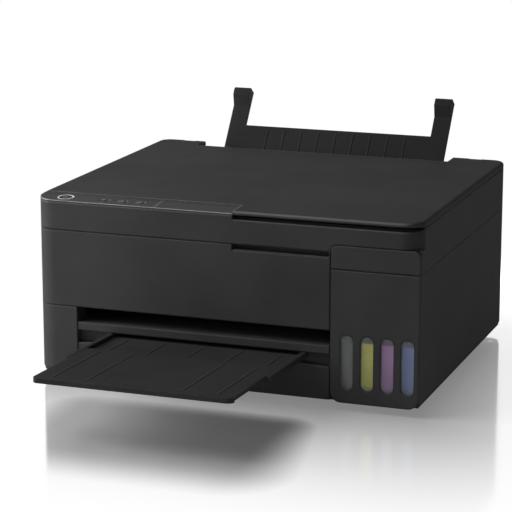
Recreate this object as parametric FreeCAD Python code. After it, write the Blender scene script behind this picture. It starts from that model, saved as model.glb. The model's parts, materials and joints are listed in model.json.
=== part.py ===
import FreeCAD, Part
import math
import os

# An inkjet printer with a flatbed scanner on top, a rear sheet feeder and ink tanks at the front right.
# All sizes are millimetres. While the pieces are made, X runs right from the middle of the case, Y runs back
# from the front plane and Z up from the floor. The saved pieces have their origin under the whole's middle.

V = FreeCAD.Vector

# Case
CASE_WIDTH = 375.0
CASE_DEPTH = 321.0
CASE_HEIGHT = 135.0
BULGE_DEPTH = 26.0
FOOT_HEIGHT = 9.0
FOOT_RADIUS = 9.0
FOOT_TAPER = 1.5
FOOT_INSET = 22.0
FOOT_FRONT = 45.0
FOOT_REAR = 86.0
BASE_THICK = 3.0
BASE_INSET = 1.0
WALL = 2.5
REAR_RADIUS = 12.5
FRONT_RADIUS = 18.5
TANK_CORNER_RADIUS = 3.0
SCREW_RADIUS = 1.5
SCREW_HEAD_RADIUS = 3.0
SCREW_HEAD = 2.0
SCREW_LENGTH = 14.0
BOSS_RADIUS = 4.5
BOSS_HEIGHT = 18.0
BOSS_SINK = 0.5
SCREW_FRONT = 10.0
SCREW_REAR = 20.5
EDGE_RADIUS = 0.5

# Clearances
SEAM = 0.4
RUN_GAP = 0.3
PIN_GAP = 0.05
OVER = 1.0

# Front
PILLAR_WIDTH = 41.9
PANEL_RISE = 62.8
PANEL_THICK = 3.2
PANEL_WRAP = 22.0
GRIP_LENGTH = 93.0
GRIP_HEIGHT = 5.9
GRIP_DEPTH = 9.0
GRIP_LIP = 1.4
GRIP_MARGIN = 1.0
FRONT_SETBACK = 0.5
LIP_RISE = 32.5
LIP_DROP = 4.5
SHELF_DROP = 1.0
BED_THICK = 7.7
BED_DEPTH = 60.0
SLOT_SETBACK = 6.0

# Output tray, measured along its own slope. The offset is from the middle of the opening
TRAY_TILT = 2.4
TRAY_OFFSET = 4.8
TRAY_WIDTH = 194.0
TRAY_THICK = 5.0
TRAY_RISE = 39.7
TRAY_OUT = 95.0
TRAY_IN = 100.0
TRAY_FLOOR = 1.6
TRAY_RAIL = 4.4
EXTENSION_OUT = 178.0
EXTENSION_LENGTH = 118.0
EXTENSION_THICK = 3.0
NOSE_LENGTH = 6.0
NOSE_DROP = 1.5
STOPPER_WIDTH = 60.0
STOPPER_LENGTH = 45.0
STOPPER_THICK = 1.6
RIB_SPREAD = 120.0
RIB_THICK = 3.0

# Ink tanks
BAY_WIDTH = 83.5
BEZEL_THICK = 3.0
BEZEL_RADIUS = 10.0
COVER_DROP = 15.5
COVER_RISE = 6.7
COVER_RADIUS = 6.0
COVER_RIM = 5.0
COVER_RIM_DROP = 3.3
WINDOW_PITCH = 19.0
WINDOW_WIDTH = 12.2
WINDOW_RISE = 8.7
WINDOW_HEIGHT = 51.0
LAST_WINDOW = 10.6
TANK_COUNT = 4
TANK_GAP = 3.4
TANK_ROOM = 8.6
TANK_HEIGHT = 106.0
TANK_WALL = 1.6
INK_DEPTH = 50.7
NECK_SETBACK = 36.0
NECK_RADIUS = 6.0
NECK_HEIGHT = 4.0
NECK_BORE = 4.0
CAP_WALL = 1.2
CAP_HEIGHT = 7.5
CAP_HINGE = 2.0
CAP_BARREL = 1.2
CAP_STRAP = 4.8

# Scanner unit
SCANNER_HEIGHT = 24.6
LEFT_EAR = 48.5
RIGHT_EAR = 54.5
NOTCH_DEPTH = 26.0
SKIRT_REAR = 30.0
SWING_GAP = 0.6
CONSOLE_LENGTH = 198.0
CONSOLE_DEPTH = 25.5
CONSOLE_RISE = 2.0
PANEL_FRONT_EDGE = 1.7
PANEL_REAR_EDGE = 3.4
SCOOP_DEPTH = 1.8
SCOOP_REACH = 5.8
SCOOP_FADE = 10.0
FRAME_THICK = 5.6
FRAME_DROP = 0.4
GLASS_LEFT = 24.5
GLASS_RIGHT = 40.5
GLASS_FRONT = 36.0
GLASS_REAR = 57.0
GLASS_THICK = 3.0
GLASS_LEDGE = 5.0
SCAN_ROD_RADIUS = 3.0
SCAN_ROD_HEIGHT = 8.1
SCAN_BAR_WIDTH = 20.0
SCAN_BAR_INSET = 8.0
SCAN_BAR_HEIGHT = 12.5
SCAN_HOME = 12.0
POST_WIDTH = 6.0
SCANNER_AXIS_SETBACK = 6.5
SCANNER_AXIS_RISE = 4.6
SCANNER_CHAMFER = 5.0
HINGE_INSET = 31.5
HINGE_WIDTH = 8.0
HINGE_PIN = 2.0
HINGE_BOSS = 5.5
HINGE_HEAD = 1.2
HINGE_POST = 30.0

# Buttons
POWER_INSET = 27.5
POWER_RADIUS = 7.7
BUTTON_SETBACK = 11.5
BUTTON_INSET = 65.5
BUTTON_PITCH = 18.0
KEY_NAMES = ("network_button", "copy_button", "stop_button")
BUTTON_LENGTH = 12.0
BUTTON_WIDTH = 8.0
BUTTON_PROUD = 0.3
BUTTON_FLANGE = 1.0
FLANGE_THICK = 1.2
KEY_FLAT = 0.2

# Lid
LID_GAP = 0.8
LID_THICK = 5.7
LID_WALL = 2.2
LID_SCOOP = 1.6
LID_BARREL = 3.0
LID_PIN = 1.2
LID_HINGE_WIDTH = 12.0
LID_PIN_LENGTH = 6.0
MAT_INSET = 4.0

# Rear feeder. The lean is measured back from the vertical, along the sheet
LEAN = 36.0
LEAN_BEHIND = 20.0
LEAN_RISE = 31.0
HOUSING_GAP = 1.5
HOUSING_REACH = 20.5
HOUSING_FLOOR = 28.0
HOUSING_RISE = 19.0
HOUSING_RADIUS = 5.0
BACK_PLATE_TOP = -16.0
BACK_PLATE_LENGTH = 112.0
BACK_PLATE_THICK = 2.5
SUPPORT_TOP = 59.0
SUPPORT_LENGTH = 134.0
SUPPORT_THICK = 4.0
SUPPORT_INSET = 14.0
ARM_WIDTH = 18.0
CROSS_TOP = 18.0
HOOK_DEPTH = 9.0
HOOK_HEIGHT = 18.0
HOOK_CHAMFER = 2.0
GUIDE_INSET = 28.5
GUIDE_THICK = 2.5
GUIDE_BOTTOM = -110.0
GUIDE_STEP = -48.0
GUIDE_TOP = -22.0
GUIDE_REACH = 9.0
GUIDE_LOW_REACH = 4.0
GUIDE_FLANGE = 18.0
GUARD_SETBACK = 4.0
GUARD_DROP = 9.0
GUARD_BARREL = 2.0
GUARD_PIN = 1.5
GUARD_REACH = 12.0
GUARD_RISE = 4.0

# Print mechanism
MECH_FRAME = 17.5
MECH_FRAME_THICK = 2.0
MECH_REACH = 88.0
MECH_REAR_GAP = 29.0
MECH_DROP = 21.0
PAPER_RISE = 52.0
FEED_SETBACK = 131.0
FEED_RADIUS = 6.0
FEED_SHAFT = 3.0
EXIT_RADIUS = 5.0
EXIT_SHAFT = 2.5
ROLLER_INSET = 19.5
EXIT_ROLLER_COUNT = 5
EXIT_ROLLER_WIDTH = 14.0
PICK_ALONG = -100.0
PICK_RADIUS = 13.0
PICK_WIDTH = 40.0
SHEET_ROOM = 0.8
MODULE = 1.0
FEED_TEETH = 40
IDLER_TEETH = 42
EXIT_TEETH = 32
PINION_TEETH = 10
GEAR_WIDTH = 5.0
GEAR_GAP = 1.0
MOTOR_RADIUS = 13.0
MOTOR_LENGTH = 24.0
PLATEN_GAP = 6.0
PLATEN_DEPTH = 54.0
PLATEN_THICK = 11.5
PLATEN_END = 62.0
PLATEN_RIB = 0.5
PLATEN_RIB_WIDTH = 2.0
PLATEN_RIB_INSET = 2.0
PLATEN_RIBS = 13
RAIL_GAP = 2.0
RAIL_THICK = 2.5
RAIL_RISE = 20.0
RAIL_HEIGHT = 40.0
CARRIAGE_PARK = 32.0
CARRIAGE_WIDTH = 60.0
CARRIAGE_DEPTH = 62.7
CARRIAGE_RISE = 6.0
CARRIAGE_HEIGHT = 48.0
CARRIAGE_WALL = 2.0
HOOK_WIDTH = 40.0
HOOK_THICK = 3.6
HEAD_WIDTH = 50.0
HEAD_DEPTH = 32.0
HEAD_GAP = 2.5
PULLEY_INSET = 15.0
PULLEY_RISE = 20.0
PULLEY_RADIUS = 8.0
PULLEY_SHAFT = 1.5
PULLEY_WIDTH = 5.0
PULLEY_SETBACK = 5.0
PULLEY_GAP = 1.1
BELT_THICK = 1.1
BELT_WIDTH = 4.0
BELT_GAP = 0.15
TAB_WIDTH = 28.0
TAB_HALF_HEIGHT = 15.0

# Electrics and waste
INNER_GAP = 2.0
SUPPLY_SIZE = (64.0, 80.0, 32.0)
STATION_WIDTH = 56.0
STATION_GAP = 2.0
CUP_RISE = 1.5
CUP_WALL = 2.0
PAD_WIDTH = 52.0
PAD_HEIGHT = 14.0
PAD_GAP = 5.0
BOARD_THICK = 1.6
BOARD_LENGTH = 120.5
BOARD_RISE = 18.0
BOARD_HEIGHT = 82.0
STANDOFF = 3.0
STANDOFF_RADIUS = 2.5
STANDOFF_INSET = 8.0
USB_SIZE = (12.0, 19.6, 11.0)
USB_RISE = 14.0
USB_SHELL = 1.2
USB_BACK = 6.0
USB_TONGUE = (6.0, 11.6, 3.2)
INLET_SIZE = (24.0, 20.0, 17.0)
INLET_INSET = 27.5
INLET_RISE = 19.0
INLET_RIM = 3.0
INLET_RECESS = 12.0
INLET_PIN = 1.2
INLET_PIN_PITCH = 8.6
INLET_PIN_SETBACK = 2.0

# Worked out from the sizes above
HALF = CASE_WIDTH / 2
FLOOR = FOOT_HEIGHT + BASE_THICK
CASE_TOP = FLOOR + CASE_HEIGHT
SCAN_BOTTOM = CASE_TOP + SEAM
SCAN_TOP = SCAN_BOTTOM + SCANNER_HEIGHT
SCAN_FLOOR = SCAN_BOTTOM + WALL
LID_BOTTOM = SCAN_TOP + LID_GAP
LID_TOP = LID_BOTTOM + LID_THICK
LID_CEILING = LID_TOP - LID_WALL
CONSOLE_TOP = SCAN_TOP + CONSOLE_RISE
COVER_SEAM = CASE_TOP - COVER_DROP
COVER_TOP = CASE_TOP + COVER_RISE
SKIRT_BOTTOM = COVER_SEAM + SEAM
CONSOLE_RIGHT = CONSOLE_LENGTH - HALF
BAY_LEFT = HALF - BAY_WIDTH
OPENING_LEFT = PILLAR_WIDTH - HALF
PANEL_BOTTOM = FLOOR + PANEL_RISE
FRONT_DEPTH = BEZEL_THICK + SEAM
SWING_DEPTH = FRONT_DEPTH + SWING_GAP
TRAY_TOP = FLOOR + TRAY_RISE
TRAY_SHIFT = (OPENING_LEFT + BAY_LEFT) / 2 + TRAY_OFFSET
BED_BOTTOM = TRAY_TOP + 2 * RUN_GAP
BED_TOP = BED_BOTTOM + BED_THICK
NOTCH = (LEFT_EAR - HALF, HALF - RIGHT_EAR)
NOTCH_FRONT = CASE_DEPTH - NOTCH_DEPTH
HOUSING = (NOTCH[0] + HOUSING_GAP, NOTCH[1] - HOUSING_GAP)
HOUSING_WIDTH = HOUSING[1] - HOUSING[0]
HOUSING_FRONT = CASE_DEPTH - HOUSING_REACH
HOUSING_BOTTOM = FLOOR + HOUSING_FLOOR
HOUSING_TOP = CASE_TOP + HOUSING_RISE
GUARD_Y = HOUSING_FRONT + GUARD_SETBACK
GUARD_Z = HOUSING_TOP - GUARD_DROP
LANE_SHIFT = (HOUSING[0] + HOUSING[1]) / 2
LEAN_Y = CASE_DEPTH + LEAN_BEHIND
LEAN_Z = CASE_TOP + LEAN_RISE
SUPPORT_WIDTH = HOUSING_WIDTH - 2 * SUPPORT_INSET
GUIDE_GAP = HOUSING_WIDTH - 2 * GUIDE_INSET
REAR = CASE_DEPTH + BULGE_DEPTH
FRAME_OUT = HALF - MECH_FRAME
FRAME_IN = FRAME_OUT - MECH_FRAME_THICK
FEED_Y = CASE_DEPTH - FEED_SETBACK
MECH_FRONT = FEED_Y - MECH_REACH
MECH_REAR = CASE_DEPTH - MECH_REAR_GAP
MECH_TOP = CASE_TOP - MECH_DROP
PAPER_LEVEL = FLOOR + PAPER_RISE
ROLLER_SPAN = HOUSING_WIDTH - 2 * ROLLER_INSET
PLATEN_RIGHT = FRAME_IN - PLATEN_END
PLATEN_REAR = FEED_Y - FEED_RADIUS - PLATEN_GAP
PLATEN_FRONT = PLATEN_REAR - PLATEN_DEPTH
RAIL_Y = FEED_Y + FEED_RADIUS + RAIL_GAP
RAIL_BOTTOM = PAPER_LEVEL + RAIL_RISE
RAIL_TOP = RAIL_BOTTOM + RAIL_HEIGHT
CARRIAGE_HOME = FRAME_IN - CARRIAGE_PARK
CARRIAGE_BOTTOM = PAPER_LEVEL + CARRIAGE_RISE
CARRIAGE_TOP = CARRIAGE_BOTTOM + CARRIAGE_HEIGHT
PULLEY_X = FRAME_IN - PULLEY_INSET
PULLEY_Z = RAIL_BOTTOM + PULLEY_RISE
FEED_Z = PAPER_LEVEL - FEED_RADIUS
EXIT_Z = PAPER_LEVEL - EXIT_RADIUS
TRAIN_SPAN = MODULE * (FEED_TEETH / 2 + IDLER_TEETH + EXIT_TEETH / 2)
EXIT_Y = FEED_Y - math.sqrt(TRAIN_SPAN ** 2 - (EXIT_Z - FEED_Z) ** 2)
PULLEY_Y = RAIL_Y + RAIL_THICK + PULLEY_SETBACK
TAB_Y = PULLEY_Y + PULLEY_WIDTH + PULLEY_GAP
HINGE_X = HALF - HINGE_INSET
SCANNER_AXIS = (CASE_DEPTH - SCANNER_AXIS_SETBACK, SCAN_BOTTOM + SCANNER_AXIS_RISE)
LID_AXIS = (CASE_DEPTH - LID_BARREL, LID_TOP - LID_BARREL)
WINDOW_XS = [HALF - LAST_WINDOW - WINDOW_PITCH * (TANK_COUNT - 1 - i) for i in range(TANK_COUNT)]
TANK_WIDTH = WINDOW_PITCH - TANK_GAP
TANK_FRONT = BEZEL_THICK + SEAM
TANK_DEPTH = MECH_FRONT - TANK_ROOM - TANK_FRONT
TANK_TOP = FLOOR + TANK_HEIGHT
INK_BOTTOM = FLOOR + TANK_WALL
INK_LEVEL = INK_BOTTOM + INK_DEPTH
WINDOW_BOTTOM = FLOOR + WINDOW_RISE
NECK_Y = TANK_FRONT + NECK_SETBACK
INK_NAMES = ("black", "yellow", "magenta", "cyan")
BAY_REAR = TANK_FRONT + TANK_DEPTH + BASE_INSET
BOARD_FRONT = CASE_DEPTH - WALL - INNER_GAP - BOARD_LENGTH
BOARD_BOTTOM = FLOOR + BOARD_RISE
INLET_X = INLET_INSET - HALF
INLET_Z = FLOOR + INLET_RISE
BUTTON_XS = {"power_button": POWER_INSET - HALF}
for key_number, key_name in enumerate(KEY_NAMES):
    BUTTON_XS[key_name] = BUTTON_INSET - HALF + key_number * BUTTON_PITCH


# Plain shapes


def box(x, y, z):
    return Part.makeBox(x[1] - x[0], y[1] - y[0], z[1] - z[0], V(x[0], y[0], z[0]))


def rod_x(y, z, radius, x):
    return Part.makeCylinder(radius, x[1] - x[0], V(x[0], y, z), V(1, 0, 0))


def rod_y(x, z, radius, y):
    return Part.makeCylinder(radius, y[1] - y[0], V(x, y[0], z), V(0, 1, 0))


def rod_z(x, y, radius, z):
    return Part.makeCylinder(radius, z[1] - z[0], V(x, y, z[0]), V(0, 0, 1))


def prism_x(points, x):
    """A solid between two X planes whose section is a polygon of (Y, Z) points."""
    corners = [V(x[0], y, z) for y, z in points]
    face = Part.Face(Part.makePolygon(corners + corners[:1]))
    return face.extrude(V(x[1] - x[0], 0, 0))


def rounded(x, y, radii, z):
    """An upright block with its own radius at front left, front right, rear right and rear left."""
    centres = [(x[0], y[0], 1, 1), (x[1], y[0], -1, 1), (x[1], y[1], -1, -1), (x[0], y[1], 1, -1)]
    starts = (180, 270, 0, 90)
    edges = []
    ends = []
    for (cx, cy, sx, sy), radius, start in zip(centres, radii, starts):
        centre = V(cx + sx * radius, cy + sy * radius, z[0])
        arc = Part.makeCircle(radius, centre, V(0, 0, 1), start, start + 90)
        ends.append((arc.firstVertex().Point, arc.lastVertex().Point))
        edges.append(arc)
    for i in range(4):
        edges.append(Part.makeLine(ends[i][1], ends[(i + 1) % 4][0]))
    wire = Part.Wire(Part.__sortEdges__(edges))
    return Part.Face(wire).extrude(V(0, 0, z[1] - z[0]))


def front_plate(x, z, radii, y):
    """A flat plate that faces the front, with corner radii from the bottom left round to the top left."""
    plate = rounded(x, z, radii, (-y[1], -y[0]))
    plate.rotate(V(0, 0, 0), V(1, 0, 0), 90)
    return plate


def pill(x, z, width, height, y):
    """A round-ended upright plate about x that faces the front."""
    radius = width / 2
    body = box((x - radius, x + radius), y, (z + radius, z + height - radius))
    low = rod_y(x, z + radius, radius, y)
    high = rod_y(x, z + height - radius, radius, y)
    return body.fuse([low, high]).removeSplitter()


def tilted(shape, angle, y, z):
    """Turn a shape back about the X axis and carry it to a point of the side view."""
    turned = shape.copy()
    turned.rotate(V(0, 0, 0), V(1, 0, 0), -angle)
    turned.translate(V(0, y, z))
    return turned


def leaning(x, depth, along):
    """A block on the sheet's leaning plane: depth is forward of the plane, along is up the lean."""
    return tilted(box(x, (-depth[1], -depth[0]), along), LEAN, LEAN_Y, LEAN_Z)


def lean_point(depth, along):
    """The Y and Z of a point forward of the sheet's plane and up its lean."""
    turn = math.radians(LEAN)
    y = LEAN_Y + along * math.sin(turn) - depth * math.cos(turn)
    z = LEAN_Z + along * math.cos(turn) + depth * math.sin(turn)
    return y, z


def on_tray(shape):
    """Place a shape drawn level, with its top at zero, on the tray's slope."""
    return tilted(shape, TRAY_TILT, 0, TRAY_TOP)


def around(centre, half):
    return (centre - half, centre + half)


def both(near, far):
    """A span on the right and its mirror on the left."""
    return [(near, far), (-far, -near)]


def gear(y, z, teeth, phase, x, bore):
    """A spur gear about an X axis, with straight-sided teeth, one of them at the phase angle."""
    pitch = MODULE * teeth / 2
    tip = pitch + 0.85 * MODULE
    root = pitch - 1.25 * MODULE
    step = 2 * math.pi / teeth
    corners = []
    for i in range(teeth):
        middle = phase + i * step
        for radius, share in ((root, -0.30), (tip, -0.10), (tip, 0.10), (root, 0.30)):
            angle = middle + share * step
            corners.append(V(x[0], y + radius * math.cos(angle), z + radius * math.sin(angle)))
    blank = Part.Face(Part.makePolygon(corners + corners[:1])).extrude(V(x[1] - x[0], 0, 0))
    return blank.cut(rod_x(y, z, bore, (x[0] - OVER, x[1] + OVER)))


def save(name, shape, origin_y):
    moved = shape.copy()
    moved.translate(V(0, -origin_y, 0))
    moved.exportStep("parts/" + name + ".step")


# Lower case


def case_block(inset, z, right_front=TANK_CORNER_RADIUS):
    rear = REAR_RADIUS - inset
    sharp = max(right_front - inset, EDGE_RADIUS)
    radii = (FRONT_RADIUS - inset, sharp, rear, rear)
    return rounded((inset - HALF, HALF - inset), (inset, CASE_DEPTH - inset), radii, z)


def screw_places():
    offset = HALF - WALL - BOSS_RADIUS + BOSS_SINK
    rows = (MECH_FRONT + SCREW_FRONT, (MECH_FRONT + MECH_REAR) / 2, CASE_DEPTH - SCREW_REAR)
    return [(side * offset, y) for side in (-1, 1) for y in rows]


def tray_under(y):
    """The height of the tray's underside above a point inside the case."""
    turn = math.radians(TRAY_TILT)
    return TRAY_TOP - y * math.tan(turn) - TRAY_THICK / math.cos(turn)


def base_pan():
    """The floor of the case, with the two ribs that the output tray runs on."""
    pan = case_block(BASE_INSET, (FOOT_HEIGHT, FLOOR))
    pan = pan.cut(box((-HALF, HALF), (0, FRONT_DEPTH), (0, FLOOR + OVER)))
    rear = TRAY_IN + TRAY_OUT
    front = FRONT_DEPTH + SLOT_SETBACK
    for side in (-1, 1):
        middle = TRAY_SHIFT + side * RIB_SPREAD / 2
        section = [(front, FLOOR - OVER), (rear, FLOOR - OVER)]
        section += [(rear, tray_under(rear) - RUN_GAP), (front, tray_under(front) - RUN_GAP)]
        pan = pan.fuse(prism_x(section, around(middle, RIB_THICK / 2)))
    for x, y in screw_places():
        pan = pan.cut(rod_z(x, y, SCREW_RADIUS + PIN_GAP, (0, FLOOR + OVER)))
    return pan.removeSplitter()


def rubber_feet():
    feet = []
    for x in (FOOT_INSET - HALF, HALF - FOOT_INSET):
        for y in (FOOT_FRONT, CASE_DEPTH - FOOT_REAR):
            foot = Part.makeCone(FOOT_RADIUS - FOOT_TAPER, FOOT_RADIUS, FOOT_HEIGHT, V(x, y, 0))
            feet.append(foot)
    return Part.makeCompound(feet)


def case_screws():
    screws = []
    for x, y in screw_places():
        head = rod_z(x, y, SCREW_HEAD_RADIUS, (FOOT_HEIGHT - SCREW_HEAD, FOOT_HEIGHT))
        shank = rod_z(x, y, SCREW_RADIUS, (FOOT_HEIGHT, FOOT_HEIGHT + SCREW_LENGTH))
        screws.append(head.fuse(shank))
    return Part.makeCompound(screws)


def rear_port(x, z, width, height, gap):
    """The hole through the rear wall for a socket."""
    depth = (CASE_DEPTH - WALL - OVER, CASE_DEPTH + OVER)
    return box(around(x, width / 2 + gap), depth, around(z, height / 2 + gap))


def usb_middle():
    x = FRAME_OUT + STANDOFF - USB_SIZE[0] / 2
    return x, BOARD_BOTTOM + USB_RISE + USB_SIZE[2] / 2


def main_case():
    """The walls of the lower case, the left front pillar and the partition of the tank bay."""
    top = CASE_TOP + OVER
    right = HALF + OVER
    case = case_block(0, (FLOOR, CASE_TOP)).cut(case_block(WALL, (FLOOR - OVER, top)))
    case = case.cut(box((OPENING_LEFT, right), (-OVER, FRONT_DEPTH), (0, top)))
    case = case.cut(box((-right, BAY_LEFT), (-OVER, PANEL_WRAP + SEAM), (PANEL_BOTTOM - SEAM, top)))
    skirt_y = (0, CASE_DEPTH - SKIRT_REAR + SEAM)
    case = case.cut(box((HALF - WALL - OVER, right), skirt_y, (SKIRT_BOTTOM - SEAM, top)))
    half_gap = HOUSING_WIDTH / 2 + SEAM
    rear_y = (CASE_DEPTH - WALL - OVER, CASE_DEPTH + OVER)
    case = case.cut(box(around(LANE_SHIFT, half_gap), rear_y, (HOUSING_BOTTOM - SEAM, top)))
    usb_x, usb_z = usb_middle()
    case = case.cut(rear_port(usb_x, usb_z, USB_SIZE[0], USB_SIZE[2], RUN_GAP))
    case = case.cut(rear_port(INLET_X, INLET_Z, INLET_SIZE[0], INLET_SIZE[2], RUN_GAP))
    pillar_x = (OPENING_LEFT - WALL, OPENING_LEFT)
    pillar_side = box(pillar_x, (WALL / 2, PANEL_WRAP), (FLOOR, PANEL_BOTTOM - SEAM))
    bay_x = BAY_LEFT + SEAM
    bay_side = box((bay_x, bay_x + WALL), (FRONT_DEPTH, BAY_REAR + WALL), (FLOOR, TANK_TOP))
    bay_back = box((bay_x, HALF - WALL / 2), (BAY_REAR, BAY_REAR + WALL), (FLOOR, TANK_TOP))
    bosses = [rod_z(x, y, BOSS_RADIUS, (FLOOR, FLOOR + BOSS_HEIGHT)) for x, y in screw_places()]
    case = case.fuse([pillar_side, bay_side, bay_back] + bosses)
    hole_top = FOOT_HEIGHT + SCREW_LENGTH + OVER
    for x, y in screw_places():
        case = case.cut(rod_z(x, y, SCREW_RADIUS + PIN_GAP, (FLOOR - OVER, hole_top)))
    return case.removeSplitter()


def front_panel():
    """The plain front panel, which turns the left front corner and has a finger pocket in its top edge."""
    z = (PANEL_BOTTOM, CASE_TOP)
    panel = case_block(0, z).cut(case_block(PANEL_THICK, (z[0] - OVER, z[1] + OVER)))
    panel = panel.common(box((-HALF, BAY_LEFT - SEAM), (0, PANEL_WRAP), z))
    low = CASE_TOP - GRIP_HEIGHT
    shelf = low + GRIP_LIP
    top = CASE_TOP + OVER
    right = BAY_LEFT - SEAM - GRIP_MARGIN
    left = right - GRIP_LENGTH
    pocket_y = (PANEL_THICK / 2, GRIP_DEPTH + WALL)
    pocket = box((left - WALL, right + GRIP_MARGIN), pocket_y, (shelf - WALL, CASE_TOP))
    grip = [(-OVER, low), (0, low), (GRIP_LIP, shelf), (GRIP_DEPTH, shelf), (GRIP_DEPTH, top), (-OVER, top)]
    return panel.fuse(pocket).cut(prism_x(grip, (left, right))).removeSplitter()


def lower_front():
    """The fascia below the paper exit: a lipped plate, the wall with the tray's slot and the bed above it."""
    x = (OPENING_LEFT + SEAM, BAY_LEFT - SEAM)
    face = FRONT_SETBACK
    crown = FLOOR + LIP_RISE
    end = crown - LIP_DROP
    low = FOOT_HEIGHT + SEAM
    crest = Part.Arc(V(x[1], face, end), V((x[0] + x[1]) / 2, face, crown), V(x[0], face, end)).toShape()
    sides = Part.makePolygon([V(x[0], face, end), V(x[0], face, low), V(x[1], face, low), V(x[1], face, end)])
    plate = Part.Face(Part.Wire(Part.__sortEdges__(sides.Edges + [crest]))).extrude(V(0, WALL, 0))
    shelf_top = end - SHELF_DROP
    slot_back = SLOT_SETBACK + WALL
    shelf = box(x, (face + WALL / 2, slot_back), (shelf_top - WALL, shelf_top))
    wall = box(x, (SLOT_SETBACK, slot_back), (shelf_top - WALL, BED_BOTTOM + OVER))
    bed = box(x, (face, BED_DEPTH), (BED_BOTTOM, BED_TOP))
    slot_half = TRAY_WIDTH / 2 + RUN_GAP
    slot_low = tray_under(slot_back) - RUN_GAP
    slot = box(around(TRAY_SHIFT, slot_half), (SLOT_SETBACK - OVER, slot_back + OVER), (slot_low, BED_BOTTOM))
    return plate.fuse([shelf, wall.cut(slot), bed]).removeSplitter()


def rear_feed_housing():
    """The bulge behind the case that holds the sheet feeder, open above and in front."""
    radii = (EDGE_RADIUS, EDGE_RADIUS, HOUSING_RADIUS, HOUSING_RADIUS)
    outer = rounded(HOUSING, (HOUSING_FRONT, REAR), radii, (HOUSING_BOTTOM, HOUSING_TOP))
    inside = (HOUSING[0] + WALL, HOUSING[1] - WALL)
    hollow = box(inside, (HOUSING_FRONT - OVER, REAR - WALL), (HOUSING_BOTTOM + WALL, HOUSING_TOP + OVER))
    pins = rod_x(GUARD_Y, GUARD_Z, GUARD_PIN + PIN_GAP, (HOUSING[0] - OVER, HOUSING[1] + OVER))
    return outer.cut(hollow).cut(pins)


# Output tray


def output_tray():
    """The pulled-out tray, a channel that the extension slides in."""
    x = around(TRAY_SHIFT, TRAY_WIDTH / 2)
    tray = box(x, (-TRAY_OUT, TRAY_IN), (-TRAY_THICK, 0))
    inner = (x[0] + TRAY_RAIL, x[1] - TRAY_RAIL)
    channel = box(inner, (-TRAY_OUT - OVER, TRAY_IN + OVER), (TRAY_FLOOR - TRAY_THICK, OVER))
    return on_tray(tray.cut(channel))


def extension_span():
    return around(TRAY_SHIFT, TRAY_WIDTH / 2 - TRAY_RAIL - RUN_GAP)


def tray_extension():
    """The second stage of the tray, with a thick nose and a recess for the stopper."""
    x = extension_span()
    low = TRAY_FLOOR - TRAY_THICK + RUN_GAP
    high = low + EXTENSION_THICK
    front = -EXTENSION_OUT
    radii = (NOSE_LENGTH, NOSE_LENGTH, EDGE_RADIUS, EDGE_RADIUS)
    plate = rounded(x, (front, front + EXTENSION_LENGTH), radii, (low, high))
    nose = rounded(x, (front, front + 2 * NOSE_LENGTH), radii, (low - NOSE_DROP, high))
    nose = nose.common(box(x, (front, front + NOSE_LENGTH), (low - NOSE_DROP, high)))
    recess_x = around(TRAY_SHIFT, STOPPER_WIDTH / 2 + RUN_GAP)
    recess_y = (front + NOSE_LENGTH - RUN_GAP, front + NOSE_LENGTH + STOPPER_LENGTH + RUN_GAP)
    recess = box(recess_x, recess_y, (high - STOPPER_THICK - RUN_GAP, high + OVER))
    return on_tray(plate.fuse(nose).cut(recess).removeSplitter())


def stopper_axis():
    """The stopper's hinge line on the level tray: its Y and its Z."""
    high = TRAY_FLOOR - TRAY_THICK + RUN_GAP + EXTENSION_THICK
    return STOPPER_THICK / 2 - EXTENSION_OUT + NOSE_LENGTH, high - STOPPER_THICK / 2


def paper_stopper():
    """The flap that lies flat in the extension's front and tips up about its front edge."""
    y, z = stopper_axis()
    half = STOPPER_THICK / 2
    x = around(TRAY_SHIFT, STOPPER_WIDTH / 2)
    plate = box(x, (y, y + STOPPER_LENGTH - half), around(z, half))
    return on_tray(plate.fuse(rod_x(y, z, half, x)).removeSplitter())


# Ink tanks


def bay_span():
    return (BAY_LEFT + SEAM, HALF)


def tank_bezel():
    """The front plate of the tank bay with a round-ended slot for each tank's window."""
    z = (FOOT_HEIGHT - BASE_INSET, COVER_SEAM - SEAM / 2)
    radii = (BEZEL_RADIUS, BEZEL_RADIUS, EDGE_RADIUS, EDGE_RADIUS)
    bezel = front_plate(bay_span(), z, radii, (0, BEZEL_THICK))
    for x in WINDOW_XS:
        bezel = bezel.cut(pill(x, WINDOW_BOTTOM, WINDOW_WIDTH, WINDOW_HEIGHT, (-OVER, BEZEL_THICK + OVER)))
    return bezel


def tank_hollow(x):
    half = TANK_WIDTH / 2 - TANK_WALL
    y = (TANK_FRONT + TANK_WALL, TANK_FRONT + TANK_DEPTH - TANK_WALL)
    return around(x, half), y


def ink_tanks():
    """Four clear tanks, each with a window boss at the front and a filler neck on top."""
    tanks = []
    y = (TANK_FRONT, TANK_FRONT + TANK_DEPTH)
    for x in WINDOW_XS:
        tank = box(around(x, TANK_WIDTH / 2), y, (FLOOR, TANK_TOP))
        width = WINDOW_WIDTH - 2 * RUN_GAP
        height = WINDOW_HEIGHT - 2 * RUN_GAP
        boss = pill(x, WINDOW_BOTTOM + RUN_GAP, width, height, (FRONT_SETBACK, TANK_FRONT + TANK_WALL / 2))
        neck = rod_z(x, NECK_Y, NECK_RADIUS, (TANK_TOP - TANK_WALL / 2, TANK_TOP + NECK_HEIGHT))
        tank = tank.fuse([boss, neck])
        inner_x, inner_y = tank_hollow(x)
        tank = tank.cut(box(inner_x, inner_y, (INK_BOTTOM, TANK_TOP - TANK_WALL)))
        bore_z = (TANK_TOP - TANK_WALL - OVER, TANK_TOP + NECK_HEIGHT + OVER)
        tank = tank.cut(rod_z(x, NECK_Y, NECK_BORE, bore_z))
        tanks.append(tank.removeSplitter())
    return Part.makeCompound(tanks)


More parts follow.
